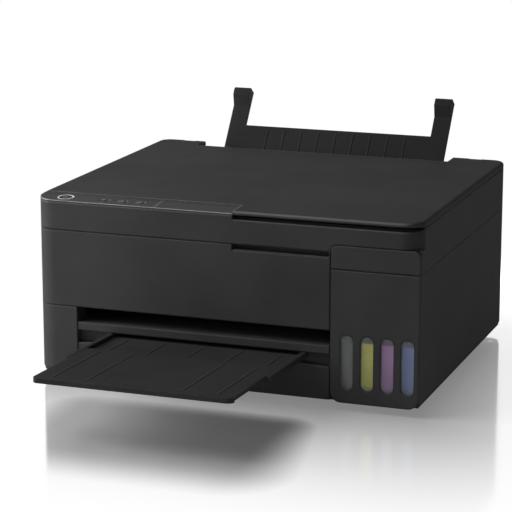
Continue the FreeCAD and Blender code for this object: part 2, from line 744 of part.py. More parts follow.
def ink_fill():
    """The ink that stands in each tank."""
    fills = []
    for x in WINDOW_XS:
        inner_x, inner_y = tank_hollow(x)
        fills.append(box(inner_x, inner_y, (INK_BOTTOM, INK_LEVEL)))
    return Part.makeCompound(fills)


def cap_axis():
    reach = NECK_RADIUS + RUN_GAP + CAP_WALL
    return NECK_Y + reach + CAP_HINGE, TANK_TOP + RUN_GAP + CAP_BARREL


def tank_cap(x):
    """A filler cap that flips back about a small barrel behind the neck."""
    inner = NECK_RADIUS + RUN_GAP
    low = TANK_TOP + RUN_GAP
    cap = rod_z(x, NECK_Y, inner + CAP_WALL, (low, low + CAP_HEIGHT))
    axis_y, axis_z = cap_axis()
    barrel = rod_x(axis_y, axis_z, CAP_BARREL, around(x, CAP_STRAP / 2))
    strap = box(around(x, CAP_STRAP / 2), (NECK_Y + inner, axis_y), (axis_z, axis_z + CAP_BARREL))
    hollow = rod_z(x, NECK_Y, inner, (low - OVER, low + NECK_HEIGHT + RUN_GAP))
    return cap.fuse([barrel, strap]).cut(hollow).removeSplitter()


def cover_axis():
    return BEZEL_THICK / 2, COVER_SEAM + SEAM / 2 + BEZEL_THICK / 2


def tank_cover():
    """The small door above the tank windows, which tips forward about its round lower edge."""
    axis_y, axis_z = cover_axis()
    x = bay_span()
    radii = (EDGE_RADIUS, EDGE_RADIUS, COVER_RADIUS, COVER_RADIUS)
    plate = front_plate(x, (axis_z, COVER_TOP), radii, (0, BEZEL_THICK))
    edge = rod_x(axis_y, axis_z, BEZEL_THICK / 2, x)
    rim_x = (x[0] + COVER_RADIUS, x[1] - COVER_RADIUS)
    rim_top = SCAN_BOTTOM - COVER_RIM_DROP
    rim = box(rim_x, (BEZEL_THICK / 2, BEZEL_THICK + COVER_RIM), (rim_top - WALL, rim_top))
    return plate.fuse([edge, rim]).removeSplitter()


# Scanner unit


def scoop_end(edge, depth, outside):
    """The finger scoop's end round the right corner, where its depth from an edge fades to nothing."""
    start = SCOOP_REACH - OVER
    end = SCOOP_REACH + SCOOP_FADE
    points = [(start, outside), (start, edge + depth), (SCOOP_REACH, edge + depth), (end, edge), (end, outside)]
    return prism_x(points, (HALF - FRONT_RADIUS, HALF + OVER))


def scanner_tub():
    """The scanner's outer shell: floor, walls, console, rear notch, right skirt and hinge bosses."""
    def shell(inset, z):
        return case_block(inset, z, FRONT_RADIUS)

    top = SCAN_TOP + OVER
    side = HALF + OVER
    back = CASE_DEPTH
    tub = shell(0, (SCAN_BOTTOM, SCAN_TOP)).cut(shell(WALL, (SCAN_FLOOR, top)))
    rise = shell(0, (SCAN_TOP, CONSOLE_TOP)).cut(shell(WALL, (SCAN_TOP - OVER, CONSOLE_TOP + OVER)))
    rise = rise.common(box((-HALF, CONSOLE_RIGHT), (0, CONSOLE_DEPTH), (SCAN_TOP, CONSOLE_TOP)))
    wall_z = (SCAN_FLOOR, CONSOLE_TOP)
    console_back = box((WALL / 2 - HALF, CONSOLE_RIGHT), (CONSOLE_DEPTH - WALL, CONSOLE_DEPTH), wall_z)
    console_side = box((CONSOLE_RIGHT - WALL, CONSOLE_RIGHT), (WALL / 2, CONSOLE_DEPTH), wall_z)
    tub = tub.fuse([rise, console_back, console_side])

    notch_walls = box((NOTCH[0] - WALL, NOTCH[1] + WALL), (NOTCH_FRONT - WALL, back), (SCAN_BOTTOM, SCAN_TOP))
    tub = tub.fuse(notch_walls).cut(box(NOTCH, (NOTCH_FRONT, back + OVER), (0, top)))

    scoop_floor = SCAN_TOP - SCOOP_DEPTH
    ledge_x = (CONSOLE_RIGHT, HALF - FRONT_RADIUS)
    ledge = box(ledge_x, (WALL / 2, SCOOP_REACH), (scoop_floor - WALL, scoop_floor))
    scoop = box((CONSOLE_RIGHT, side), (-OVER, SCOOP_REACH), (scoop_floor, top))
    tub = tub.fuse(ledge).cut(scoop).cut(scoop_end(SCAN_TOP, -SCOOP_DEPTH, top))

    cover_high = COVER_TOP + SEAM
    lintel_x = (BAY_LEFT - WALL, HALF - WALL / 2)
    lintel = box(lintel_x, (WALL / 2, SWING_DEPTH + WALL), (SCAN_BOTTOM, cover_high + WALL))
    lintel = lintel.common(shell(0, (SCAN_BOTTOM, SCAN_TOP)))
    cover_radii = (EDGE_RADIUS, EDGE_RADIUS, EDGE_RADIUS, COVER_RADIUS + SEAM)
    cover_space = front_plate((BAY_LEFT, side), (0, cover_high), cover_radii, (-OVER, SWING_DEPTH))
    tub = tub.fuse(lintel).cut(cover_space)

    skirt_y = (SWING_DEPTH, CASE_DEPTH - SKIRT_REAR)
    skirt = box((HALF - WALL, HALF), skirt_y, (SKIRT_BOTTOM, SCAN_FLOOR))
    cheek = box((HALF - WALL, HALF), (SWING_DEPTH, FRONT_RADIUS + WALL), (SKIRT_BOTTOM, COVER_TOP))
    tub = tub.fuse([skirt, cheek])

    corner = SCANNER_CHAMFER
    inside = back - WALL / 2
    low = SCAN_FLOOR - WALL / 2
    thick = [(back - corner - 2 * WALL, low), (inside, low), (inside, SCAN_FLOOR + corner + WALL)]
    for ear in ((REAR_RADIUS - HALF, NOTCH[0]), (NOTCH[1], HALF - REAR_RADIUS)):
        tub = tub.fuse(prism_x(thick, ear))

    axis_y, axis_z = SCANNER_AXIS
    for middle in (-HINGE_X, HINGE_X):
        slot_half = HINGE_WIDTH / 2 + 2 * RUN_GAP
        boss_half = slot_half + HINGE_BOSS
        boss_top = axis_z + HINGE_BOSS
        boss = box(around(middle, boss_half), (axis_y - HINGE_BOSS, inside), (low, boss_top))
        slot = box(around(middle, slot_half), (axis_y - 2 * HINGE_BOSS, back + OVER), (0, boss_top + OVER))
        bore = rod_x(axis_y, axis_z, HINGE_PIN + PIN_GAP, around(middle, boss_half + OVER))
        tub = tub.fuse(boss).cut(slot).cut(bore)
    under = SCAN_BOTTOM - OVER
    bevel = [(back - corner, SCAN_BOTTOM), (back - corner, under), (back + OVER, under)]
    bevel += [(back + OVER, SCAN_BOTTOM + corner + OVER)]
    tub = tub.cut(prism_x(bevel, (-side, side)))

    post_top = scan_rod_z() + 2 * SCAN_ROD_RADIUS
    reach = scan_rod_reach() + PIN_GAP
    socket = rod_x(scan_rod_y(), scan_rod_z(), SCAN_ROD_RADIUS + PIN_GAP, around(0, reach))
    for x in both(HALF - WALL - POST_WIDTH, HALF - WALL / 2):
        post = box(x, around(scan_rod_y(), 2 * SCAN_ROD_RADIUS), (low, post_top))
        tub = tub.fuse(post.cut(socket))
    return tub.removeSplitter()


def scan_rod_y():
    x, y = glass_span(0)
    return (y[0] + y[1]) / 2


def scan_rod_z():
    return SCAN_BOTTOM + SCAN_ROD_HEIGHT


def scan_rod_reach():
    """How far the rod runs each way from the middle, into its two posts."""
    return HALF - WALL - POST_WIDTH / 2


def scan_rod():
    return rod_x(scan_rod_y(), scan_rod_z(), SCAN_ROD_RADIUS, around(0, scan_rod_reach()))


def scan_bar():
    """The lamp and sensor bar that crosses under the glass on its rod."""
    left = POST_WIDTH + WALL + SCAN_HOME - HALF
    right = left + SCAN_BAR_WIDTH
    low = SCAN_FLOOR + 2 * RUN_GAP
    x, y = glass_span(-SCAN_BAR_INSET)
    bar = box((left, right), y, (low, low + SCAN_BAR_HEIGHT))
    bore = rod_x(scan_rod_y(), scan_rod_z(), SCAN_ROD_RADIUS + PIN_GAP, (left - OVER, right + OVER))
    return bar.cut(bore)


def glass_span(grow):
    """The X and Y spans of the scanner's glass, grown or shrunk all round."""
    x = (GLASS_LEFT - HALF - grow, HALF - GLASS_RIGHT + grow)
    return x, (GLASS_FRONT - grow, CASE_DEPTH - GLASS_REAR + grow)


def scanner_top_frame():
    """The flat frame under the lid that holds the glass."""
    high = SCAN_TOP - FRAME_DROP
    z = (high - FRAME_THICK, high)
    inset = WALL + RUN_GAP
    frame = case_block(inset, z, FRONT_RADIUS)
    through = (0, high + OVER)
    frame = frame.cut(box((-HALF, CONSOLE_RIGHT + RUN_GAP), (0, CONSOLE_DEPTH + RUN_GAP), through))
    frame = frame.cut(box((-HALF, HALF), (0, SCOOP_REACH + RUN_GAP), through))
    notch_x = (NOTCH[0] - inset, NOTCH[1] + inset)
    frame = frame.cut(box(notch_x, (NOTCH_FRONT - inset, CASE_DEPTH), through))
    seat_x, seat_y = glass_span(RUN_GAP)
    frame = frame.cut(box(seat_x, seat_y, (high - GLASS_THICK, high + OVER)))
    hole_x, hole_y = glass_span(-GLASS_LEDGE)
    return frame.cut(box(hole_x, hole_y, through))


def scanner_glass():
    x, y = glass_span(0)
    high = SCAN_TOP - FRAME_DROP
    return box(x, y, (high - GLASS_THICK, high))


def console_slope(raised):
    """The space above the console's sloping top."""
    front = CONSOLE_TOP + PANEL_FRONT_EDGE + raised
    rear = CONSOLE_TOP + PANEL_REAR_EDGE + raised
    step = (rear - front) / CONSOLE_DEPTH * OVER
    top = console_reach() + OVER
    behind = CONSOLE_DEPTH + OVER
    points = [(-OVER, front - step), (behind, rear + step), (behind, top), (-OVER, top)]
    return prism_x(points, (-HALF - OVER, CONSOLE_RIGHT + OVER))


def console_reach():
    """A height above everything on the console, from which its strip and buttons are cut down."""
    return CONSOLE_TOP + 2 * PANEL_REAR_EDGE + BUTTON_PROUD


def button_block(name, grow, z):
    """The upright block of a button, or of its hole when it is grown by a clearance."""
    middle = BUTTON_XS[name]
    if name not in KEY_NAMES:
        return rod_z(middle, BUTTON_SETBACK, POWER_RADIUS + grow, z)
    radius = (BUTTON_WIDTH - KEY_FLAT) / 2 + grow
    y = around(BUTTON_SETBACK, BUTTON_WIDTH / 2 + grow)
    return rounded(around(middle, BUTTON_LENGTH / 2 + grow), y, (radius,) * 4, z)


def control_panel():
    """The sloping strip at the front left that carries the buttons."""
    z = (CONSOLE_TOP, console_reach())
    strip = case_block(0, z, FRONT_RADIUS)
    strip = strip.common(box((-HALF, CONSOLE_RIGHT), (0, CONSOLE_DEPTH), z)).cut(console_slope(0))
    for name in BUTTON_XS:
        strip = strip.cut(button_block(name, RUN_GAP, (z[0] - OVER, z[1])))
    return strip


def button(name):
    """A button with a flange that keeps it under the strip."""
    flange_top = CONSOLE_TOP - RUN_GAP
    flange_low = flange_top - FLANGE_THICK
    cap = button_block(name, 0, (flange_low, console_reach())).cut(console_slope(BUTTON_PROUD))
    flange = button_block(name, BUTTON_FLANGE, (flange_low, flange_top))
    return cap.fuse(flange).removeSplitter()


def scanner_hinges():
    """Two posts on the rear wall with the pins that the scanner unit turns on."""
    axis_y, axis_z = SCANNER_AXIS
    hinges = []
    reach = HINGE_PIN + HINGE_HEAD
    for middle in (-HINGE_X, HINGE_X):
        x = around(middle, HINGE_WIDTH / 2)
        post = box(x, (axis_y - HINGE_BOSS, CASE_DEPTH - WALL), (CASE_TOP - HINGE_POST, CASE_TOP))
        head = box(x, around(axis_y, reach), (CASE_TOP - OVER, axis_z + reach))
        pin = rod_x(axis_y, axis_z, HINGE_PIN, around(middle, HINGE_WIDTH / 2 + HINGE_BOSS))
        hinges.append(post.fuse([head, pin]).removeSplitter())
    return Part.makeCompound(hinges)


# Document lid


def lid_block(inset, z, edge=0):
    """The lid's outline between two heights, with its top edge rounded where an edge radius is given."""
    block = case_block(inset, z, FRONT_RADIUS)
    if edge:
        block = block.makeFillet(edge, [rim for rim in block.Edges if rim.BoundBox.ZMin > z[1] - OVER])
    gap = SEAM + inset
    through = (z[0] - OVER, z[1] + OVER)
    block = block.cut(box((-HALF - OVER, CONSOLE_RIGHT + gap), (-OVER, CONSOLE_DEPTH + gap), through))
    notch = (NOTCH[0] - inset, NOTCH[1] + inset)
    return block.cut(box(notch, (NOTCH_FRONT - inset, CASE_DEPTH + OVER), through))


def document_lid():
    """The scanner's lid, hollow below, with round edges and a raised front lip; the rear edges turn on the hinges."""
    axis_y, axis_z = LID_AXIS
    lid = lid_block(0, (LID_BOTTOM, LID_TOP), LID_BARREL)
    low = LID_BOTTOM - OVER
    lid = lid.cut(lid_block(LID_WALL, (low, LID_CEILING)))
    lid = lid.cut(box((CONSOLE_RIGHT, HALF + OVER), (-OVER, SCOOP_REACH), (low, LID_BOTTOM + LID_SCOOP)))
    lid = lid.cut(scoop_end(LID_BOTTOM, LID_SCOOP, low))
    wide = around(0, HALF + OVER)
    behind = (axis_y - LID_BARREL - OVER, CASE_DEPTH + OVER)
    lid = lid.cut(box(wide, behind, (low, axis_z)))
    corner = box(wide, (axis_y, CASE_DEPTH + OVER), (axis_z, LID_TOP + OVER))
    lid = lid.cut(corner.cut(rod_x(axis_y, axis_z, LID_BARREL, wide)))
    gap = LID_HINGE_WIDTH / 2 + RUN_GAP
    left_ear = (REAR_RADIUS - HALF, NOTCH[0])
    right_ear = (NOTCH[1], HALF - REAR_RADIUS)
    for middle, ear in ((-HINGE_X, left_ear), (HINGE_X, right_ear)):
        lid = lid.fuse(rod_x(axis_y, axis_z, LID_BARREL, ear))
        lid = lid.cut(box(around(middle, gap), behind, (low, LID_TOP + OVER)))
        lid = lid.cut(rod_x(axis_y, axis_z, LID_PIN + PIN_GAP, ear))
    return lid.removeSplitter()


def document_mat():
    """The pale foam that presses the page on the glass."""
    x, y = glass_span(-MAT_INSET)
    return box(x, y, (SCAN_TOP - FRAME_DROP + RUN_GAP, LID_CEILING))


def lid_hinges():
    """Two hinge blocks on the scanner's rear wall with the lid's pins."""
    axis_y, axis_z = LID_AXIS
    hinges = []
    for middle in (-HINGE_X, HINGE_X):
        span = around(middle, LID_HINGE_WIDTH / 2)
        knuckle = rod_x(axis_y, axis_z, LID_BARREL - RUN_GAP, span)
        foot = box(span, around(axis_y, LID_BARREL - RUN_GAP), (SCAN_TOP, axis_z))
        pin = rod_x(axis_y, axis_z, LID_PIN, around(middle, LID_HINGE_WIDTH / 2 + LID_PIN_LENGTH))
        hinges.append(knuckle.fuse([foot, pin]).removeSplitter())
    return Part.makeCompound(hinges)


# Rear feeder


def feeder_back_plate():
    half = HOUSING_WIDTH / 2 - WALL - RUN_GAP
    along = (BACK_PLATE_TOP - BACK_PLATE_LENGTH, BACK_PLATE_TOP)
    return leaning(around(LANE_SHIFT, half), (SEAM, SEAM + BACK_PLATE_THICK), along)


def paper_support():
    """The sliding support: two hooked arms joined by a lower plate, behind the back plate."""
    low = SUPPORT_TOP - SUPPORT_LENGTH
    half = SUPPORT_WIDTH / 2
    depth = (-SUPPORT_THICK, 0)
    cross = leaning(around(LANE_SHIFT, half - ARM_WIDTH / 2), depth, (low, CROSS_TOP))
    arms = []
    hook_low = SUPPORT_TOP - HOOK_HEIGHT
    hook = [(0, hook_low), (-HOOK_DEPTH, hook_low + HOOK_DEPTH), (-HOOK_DEPTH, SUPPORT_TOP - HOOK_CHAMFER)]
    hook += [(HOOK_CHAMFER - HOOK_DEPTH, SUPPORT_TOP), (0, SUPPORT_TOP)]
    for near, far in both(half - ARM_WIDTH, half):
        span = (LANE_SHIFT + near, LANE_SHIFT + far)
        arms.append(leaning(span, depth, (low, SUPPORT_TOP)))
        arms.append(tilted(prism_x(hook, span), LEAN, LEAN_Y, LEAN_Z))
    return cross.fuse(arms).removeSplitter()


def edge_guide(side):
    """A sliding edge guide on the back plate; side is -1 for the left one and 1 for the right one."""
    depth = SEAM + BACK_PLATE_THICK + RUN_GAP
    edge = GUIDE_GAP / 2

    def span(near, far):
        values = sorted((LANE_SHIFT + side * near, LANE_SHIFT + side * far))
        return (values[0], values[1])

    sheet_side = span(edge, edge + GUIDE_THICK)
    fin = leaning(sheet_side, (depth, depth + GUIDE_REACH), (GUIDE_BOTTOM, GUIDE_STEP))
    tip = leaning(sheet_side, (depth, depth + GUIDE_LOW_REACH), (GUIDE_STEP - OVER, GUIDE_TOP))
    flange_x = span(edge + GUIDE_THICK / 2, edge + GUIDE_THICK + GUIDE_FLANGE)
    flange = leaning(flange_x, (depth, depth + GUIDE_THICK), (GUIDE_BOTTOM, GUIDE_STEP))
    return fin.fuse([tip, flange]).removeSplitter()


def feeder_guard():
    """The flap in front of the sheets, on pins in the housing's cheeks."""
    half = HOUSING_WIDTH / 2 - WALL - RUN_GAP
    span = around(LANE_SHIFT, half)
    section = [(GUARD_Y, GUARD_Z + GUARD_BARREL / 2), (GUARD_Y, GUARD_Z - GUARD_BARREL / 2)]
    section += [(GUARD_Y + GUARD_REACH, GUARD_Z + GUARD_RISE - GUARD_BARREL / 2)]
    section += [(GUARD_Y + GUARD_REACH, GUARD_Z + GUARD_RISE + GUARD_BARREL / 2)]
    flap = prism_x(section, span)
    barrel = rod_x(GUARD_Y, GUARD_Z, GUARD_BARREL, span)
    pin = rod_x(GUARD_Y, GUARD_Z, GUARD_PIN, around(LANE_SHIFT, HOUSING_WIDTH / 2 - RUN_GAP))
    return flap.fuse([barrel, pin]).removeSplitter()


# Print mechanism


def pick_place():
    depth = SEAM + BACK_PLATE_THICK + SHEET_ROOM + PICK_RADIUS
    return lean_point(depth, PICK_ALONG)


def train():
    """Each gear's Y, Z and tooth phase: feed, idler, exit and pinion, all in mesh."""
    toward = math.atan2(EXIT_Z - FEED_Z, EXIT_Y - FEED_Y)
    reach = MODULE * (FEED_TEETH + IDLER_TEETH) / 2
    idler = (FEED_Y + reach * math.cos(toward), FEED_Z + reach * math.sin(toward))
    step = 2 * math.pi / FEED_TEETH
    slip = toward - step * round(toward / step)
    pinion_phase = math.pi - slip * FEED_TEETH / PINION_TEETH + math.pi / PINION_TEETH
    pinion_y = FEED_Y + MODULE * (FEED_TEETH + PINION_TEETH) / 2
    return {
        "feed": (FEED_Y, FEED_Z, toward),
        "idler": (idler[0], idler[1], toward + math.pi + math.pi / IDLER_TEETH),
        "exit": (EXIT_Y, EXIT_Z, toward + math.pi),
        "pinion": (pinion_y, FEED_Z, pinion_phase),
    }


def gear_span():
    return (-FRAME_OUT - GEAR_GAP - GEAR_WIDTH, -FRAME_OUT - GEAR_GAP)


def side_frames():
    """Two upright plates that carry the shafts, the rail and the pulleys."""
    frames = []
    pick_y, pick_z = pick_place()
    idler_y, idler_z, phase = train()["idler"]
    pinion_y, pinion_z, phase = train()["pinion"]
    for side in (-1, 1):
        x = sorted((side * FRAME_IN, side * FRAME_OUT))
        through = (x[0] - OVER, x[1] + OVER)
        plate = box(x, (MECH_FRONT, MECH_REAR), (FLOOR, MECH_TOP))
        tab_x = sorted((side * (FRAME_IN - TAB_WIDTH), side * (FRAME_IN + MECH_FRAME_THICK / 2)))
        tab_back = TAB_Y + MECH_FRAME_THICK
        tab = box(tab_x, (TAB_Y, tab_back), around(PULLEY_Z, TAB_HALF_HEIGHT))
        hole = rod_y(side * PULLEY_X, PULLEY_Z, PULLEY_SHAFT + PIN_GAP, (TAB_Y - OVER, tab_back + OVER))
        plate = plate.fuse(tab.cut(hole))
        plate = plate.cut(rod_x(FEED_Y, FEED_Z, FEED_SHAFT + PIN_GAP, through))
        plate = plate.cut(rod_x(EXIT_Y, EXIT_Z, EXIT_SHAFT + PIN_GAP, through))
        plate = plate.cut(rod_x(pick_y, pick_z, FEED_SHAFT + PIN_GAP, through))
        if side < 0:
            stub = rod_x(idler_y, idler_z, FEED_SHAFT, (gear_span()[0] - GEAR_GAP, x[1]))
            plate = plate.fuse(stub)
            plate = plate.cut(rod_x(pinion_y, pinion_z, EXIT_SHAFT + PIN_GAP, through))
        frames.append(plate.removeSplitter())
    return Part.makeCompound(frames)


def shaft_span():
    return (gear_span()[0] - GEAR_GAP, FRAME_OUT + GEAR_GAP)


def feed_roller():
    shaft = rod_x(FEED_Y, FEED_Z, FEED_SHAFT, shaft_span())
    sleeve = rod_x(FEED_Y, FEED_Z, FEED_RADIUS, around(LANE_SHIFT, ROLLER_SPAN / 2))
    return shaft.fuse(sleeve).removeSplitter()


def exit_roller():
    shaft = rod_x(EXIT_Y, EXIT_Z, EXIT_SHAFT, shaft_span())
    wheels = []
    for i in range(EXIT_ROLLER_COUNT):
        share = i / (EXIT_ROLLER_COUNT - 1) - 0.5
        middle = LANE_SHIFT + share * (ROLLER_SPAN - 2 * EXIT_ROLLER_WIDTH)
        wheels.append(rod_x(EXIT_Y, EXIT_Z, EXIT_RADIUS, around(middle, EXIT_ROLLER_WIDTH / 2)))
    return shaft.fuse(wheels).removeSplitter()


def pick_roller():
    y, z = pick_place()
    shaft = rod_x(y, z, FEED_SHAFT, (-FRAME_OUT - GEAR_GAP, FRAME_OUT + GEAR_GAP))
    return shaft.fuse(rod_x(y, z, PICK_RADIUS, around(LANE_SHIFT, PICK_WIDTH / 2))).removeSplitter()


def train_gear(name, teeth, bore):
    y, z, phase = train()[name]
    return gear(y, z, teeth, phase, gear_span(), bore)


def motor_pinion():
    """The feed motor's pinion on its short shaft."""
    y, z, phase = train()["pinion"]
    shaft = rod_x(y, z, EXIT_SHAFT, (gear_span()[0], -FRAME_IN - RUN_GAP))
    return gear(y, z, PINION_TEETH, phase, gear_span(), EXIT_SHAFT / 2).fuse(shaft).removeSplitter()


def feed_motor():
    y, z, phase = train()["pinion"]
    return rod_x(y, z, MOTOR_RADIUS, (-FRAME_IN, MOTOR_LENGTH - FRAME_IN))


def carriage_motor():
    back = TAB_Y + MECH_FRAME_THICK
    return rod_y(PULLEY_X, PULLEY_Z, MOTOR_RADIUS, (back, back + MOTOR_LENGTH))


def pulley(side):
    shaft_end = TAB_Y + MECH_FRAME_THICK - PIN_GAP
    wheel = rod_y(side * PULLEY_X, PULLEY_Z, PULLEY_RADIUS, (PULLEY_Y, PULLEY_Y + PULLEY_WIDTH))
    return wheel.fuse(rod_y(side * PULLEY_X, PULLEY_Z, PULLEY_SHAFT, (PULLEY_Y, shaft_end))).removeSplitter()


def belt_loop(radius, y):
    ends = [rod_y(side * PULLEY_X, PULLEY_Z, radius, y) for side in (-1, 1)]
    return box((-PULLEY_X, PULLEY_X), y, around(PULLEY_Z, radius)).fuse(ends)


def carriage_belt():
    middle = PULLEY_Y + PULLEY_WIDTH / 2
    inner = PULLEY_RADIUS + BELT_GAP
    outer = belt_loop(inner + BELT_THICK, around(middle, BELT_WIDTH / 2))
    return outer.cut(belt_loop(inner, around(middle, BELT_WIDTH))).removeSplitter()


def carriage_rail():
    return box((-FRAME_IN, FRAME_IN), (RAIL_Y, RAIL_Y + RAIL_THICK), (RAIL_BOTTOM, RAIL_TOP))


def print_carriage():
    """The open-topped carriage, with a hook over the rail that clips above the belt."""
    x = around(CARRIAGE_HOME, CARRIAGE_WIDTH / 2)
    rear = RAIL_Y - RUN_GAP
    y = (rear - CARRIAGE_DEPTH, rear)
    body = box(x, y, (CARRIAGE_BOTTOM, CARRIAGE_TOP))
    inner = box((x[0] + CARRIAGE_WALL, x[1] - CARRIAGE_WALL), (y[0] + CARRIAGE_WALL, y[1] - CARRIAGE_WALL),
                (CARRIAGE_BOTTOM + CARRIAGE_WALL, CARRIAGE_TOP + OVER))
    hook_x = around(CARRIAGE_HOME, HOOK_WIDTH / 2)
    hook_low = RAIL_TOP + RUN_GAP
    behind = RAIL_Y + RAIL_THICK + RUN_GAP
    belt_top = PULLEY_Z + PULLEY_RADIUS + BELT_GAP + BELT_THICK
    mast = box(hook_x, (y[1] - CARRIAGE_WALL, y[1]), (CARRIAGE_TOP - CARRIAGE_WALL, hook_low + HOOK_THICK))
    over = box(hook_x, (y[1] - CARRIAGE_WALL, PULLEY_Y + PULLEY_WIDTH), (hook_low, hook_low + HOOK_THICK))
    clip = box(hook_x, (behind, PULLEY_Y + PULLEY_WIDTH), (belt_top + RUN_GAP, hook_low + HOOK_THICK / 2))
    return body.cut(inner).fuse([mast, over, clip]).removeSplitter()


def print_head():
    y = around((PLATEN_FRONT + PLATEN_REAR) / 2, HEAD_DEPTH / 2)
    return box(around(CARRIAGE_HOME, HEAD_WIDTH / 2), y, (PAPER_LEVEL + HEAD_GAP, CARRIAGE_BOTTOM))


def platen():
    """The ribbed plate under the sheet in the print zone."""
    top = PAPER_LEVEL - PLATEN_RIB
    plate = box((-FRAME_IN, PLATEN_RIGHT), (PLATEN_FRONT, PLATEN_REAR), (top - PLATEN_THICK, top))
    rib_span = ROLLER_SPAN - 2 * EXIT_ROLLER_WIDTH
    rib_y = (PLATEN_FRONT + PLATEN_RIB_INSET, PLATEN_REAR - PLATEN_RIB_INSET)
    ribs = []
    for i in range(PLATEN_RIBS):
        middle = LANE_SHIFT + (i / (PLATEN_RIBS - 1) - 0.5) * rib_span
        ribs.append(box(around(middle, PLATEN_RIB_WIDTH / 2), rib_y, (top - PLATEN_RIB, PAPER_LEVEL)))
    return plate.fuse(ribs).removeSplitter()


def capping_station():
    """The station that seals the print head where the carriage parks."""
    x = (PLATEN_RIGHT + STATION_GAP, PLATEN_RIGHT + STATION_GAP + STATION_WIDTH)
    y = (PLATEN_FRONT, PLATEN_REAR)
    block_top = PAPER_LEVEL - CUP_RISE
    block = box(x, y, (FLOOR, block_top))
    lip_x = (x[0] + CUP_WALL, x[1] - CUP_WALL)
    lip_y = around((PLATEN_FRONT + PLATEN_REAR) / 2, HEAD_DEPTH / 2)
    lip = box(lip_x, lip_y, (block_top - CUP_WALL, PAPER_LEVEL))
    cup_x = (lip_x[0] + CUP_WALL, lip_x[1] - CUP_WALL)
    cup = box(cup_x, (lip_y[0] + CUP_WALL, lip_y[1] - CUP_WALL), (block_top, PAPER_LEVEL + OVER))
    return block.fuse(lip).cut(cup).removeSplitter()


# Electrics and waste


def waste_ink_pad():
    right = FRAME_IN - INNER_GAP
    y = (PLATEN_REAR + PAD_GAP, MECH_REAR - PAD_GAP)
    return box((right - PAD_WIDTH, right), y, (FLOOR, FLOOR + PAD_HEIGHT))


def power_supply():
    left = INNER_GAP - FRAME_IN
    width, depth, height = SUPPLY_SIZE
    return box((left, left + width), (MECH_REAR - depth, MECH_REAR), (FLOOR, FLOOR + height))


def main_board():
    """The control board on standoffs outside the right side frame."""
    x = FRAME_OUT + STANDOFF
    y = (BOARD_FRONT, BOARD_FRONT + BOARD_LENGTH)
    board = box((x, x + BOARD_THICK), y, (BOARD_BOTTOM, BOARD_BOTTOM + BOARD_HEIGHT))
    posts = []
    for post_y in (BOARD_FRONT + STANDOFF_INSET, MECH_REAR - STANDOFF_INSET):
        for post_z in (BOARD_BOTTOM + STANDOFF_INSET, BOARD_BOTTOM + BOARD_HEIGHT - STANDOFF_INSET):
            posts.append(rod_x(post_y, post_z, STANDOFF_RADIUS, (FRAME_OUT, x + BOARD_THICK / 2)))
    return board.fuse(posts).removeSplitter()


def usb_port():
    """The data socket on the board, open at the rear."""
    x, z = usb_middle()
    y = (CASE_DEPTH - SEAM - USB_SIZE[1], CASE_DEPTH - SEAM)
    shell = box(around(x, USB_SIZE[0] / 2), y, around(z, USB_SIZE[2] / 2))
    inner_x = around(x, USB_SIZE[0] / 2 - USB_SHELL)
    hollow = box(inner_x, (y[0] + USB_BACK, y[1] + OVER), around(z, USB_SIZE[2] / 2 - USB_SHELL))
    tongue_y = (y[0] + USB_BACK / 2, y[0] + USB_BACK + USB_TONGUE[1])
    tongue = box(around(x, USB_TONGUE[0] / 2), tongue_y, around(z, USB_TONGUE[2] / 2))
    return shell.cut(hollow).fuse(tongue).removeSplitter()


def power_inlet():
    """The two-pin mains inlet in the rear wall."""
    y = (CASE_DEPTH - SEAM - INLET_SIZE[1], CASE_DEPTH - SEAM)
    body = box(around(INLET_X, INLET_SIZE[0] / 2), y, around(INLET_Z, INLET_SIZE[2] / 2))
    radius = INLET_SIZE[2] / 2 - INLET_RIM
    depth = (y[1] - INLET_RECESS, y[1] + OVER)
    half = INLET_PIN_PITCH / 2
    recess = box(around(INLET_X, half), depth, around(INLET_Z, radius))
    recess = recess.fuse([rod_y(INLET_X + side * half, INLET_Z, radius, depth) for side in (-1, 1)])
    pin_y = (depth[0] - OVER, y[1] - INLET_PIN_SETBACK)
    pins = [rod_y(INLET_X + side * half, INLET_Z, INLET_PIN, pin_y) for side in (-1, 1)]
    return body.cut(recess).fuse(pins).removeSplitter()


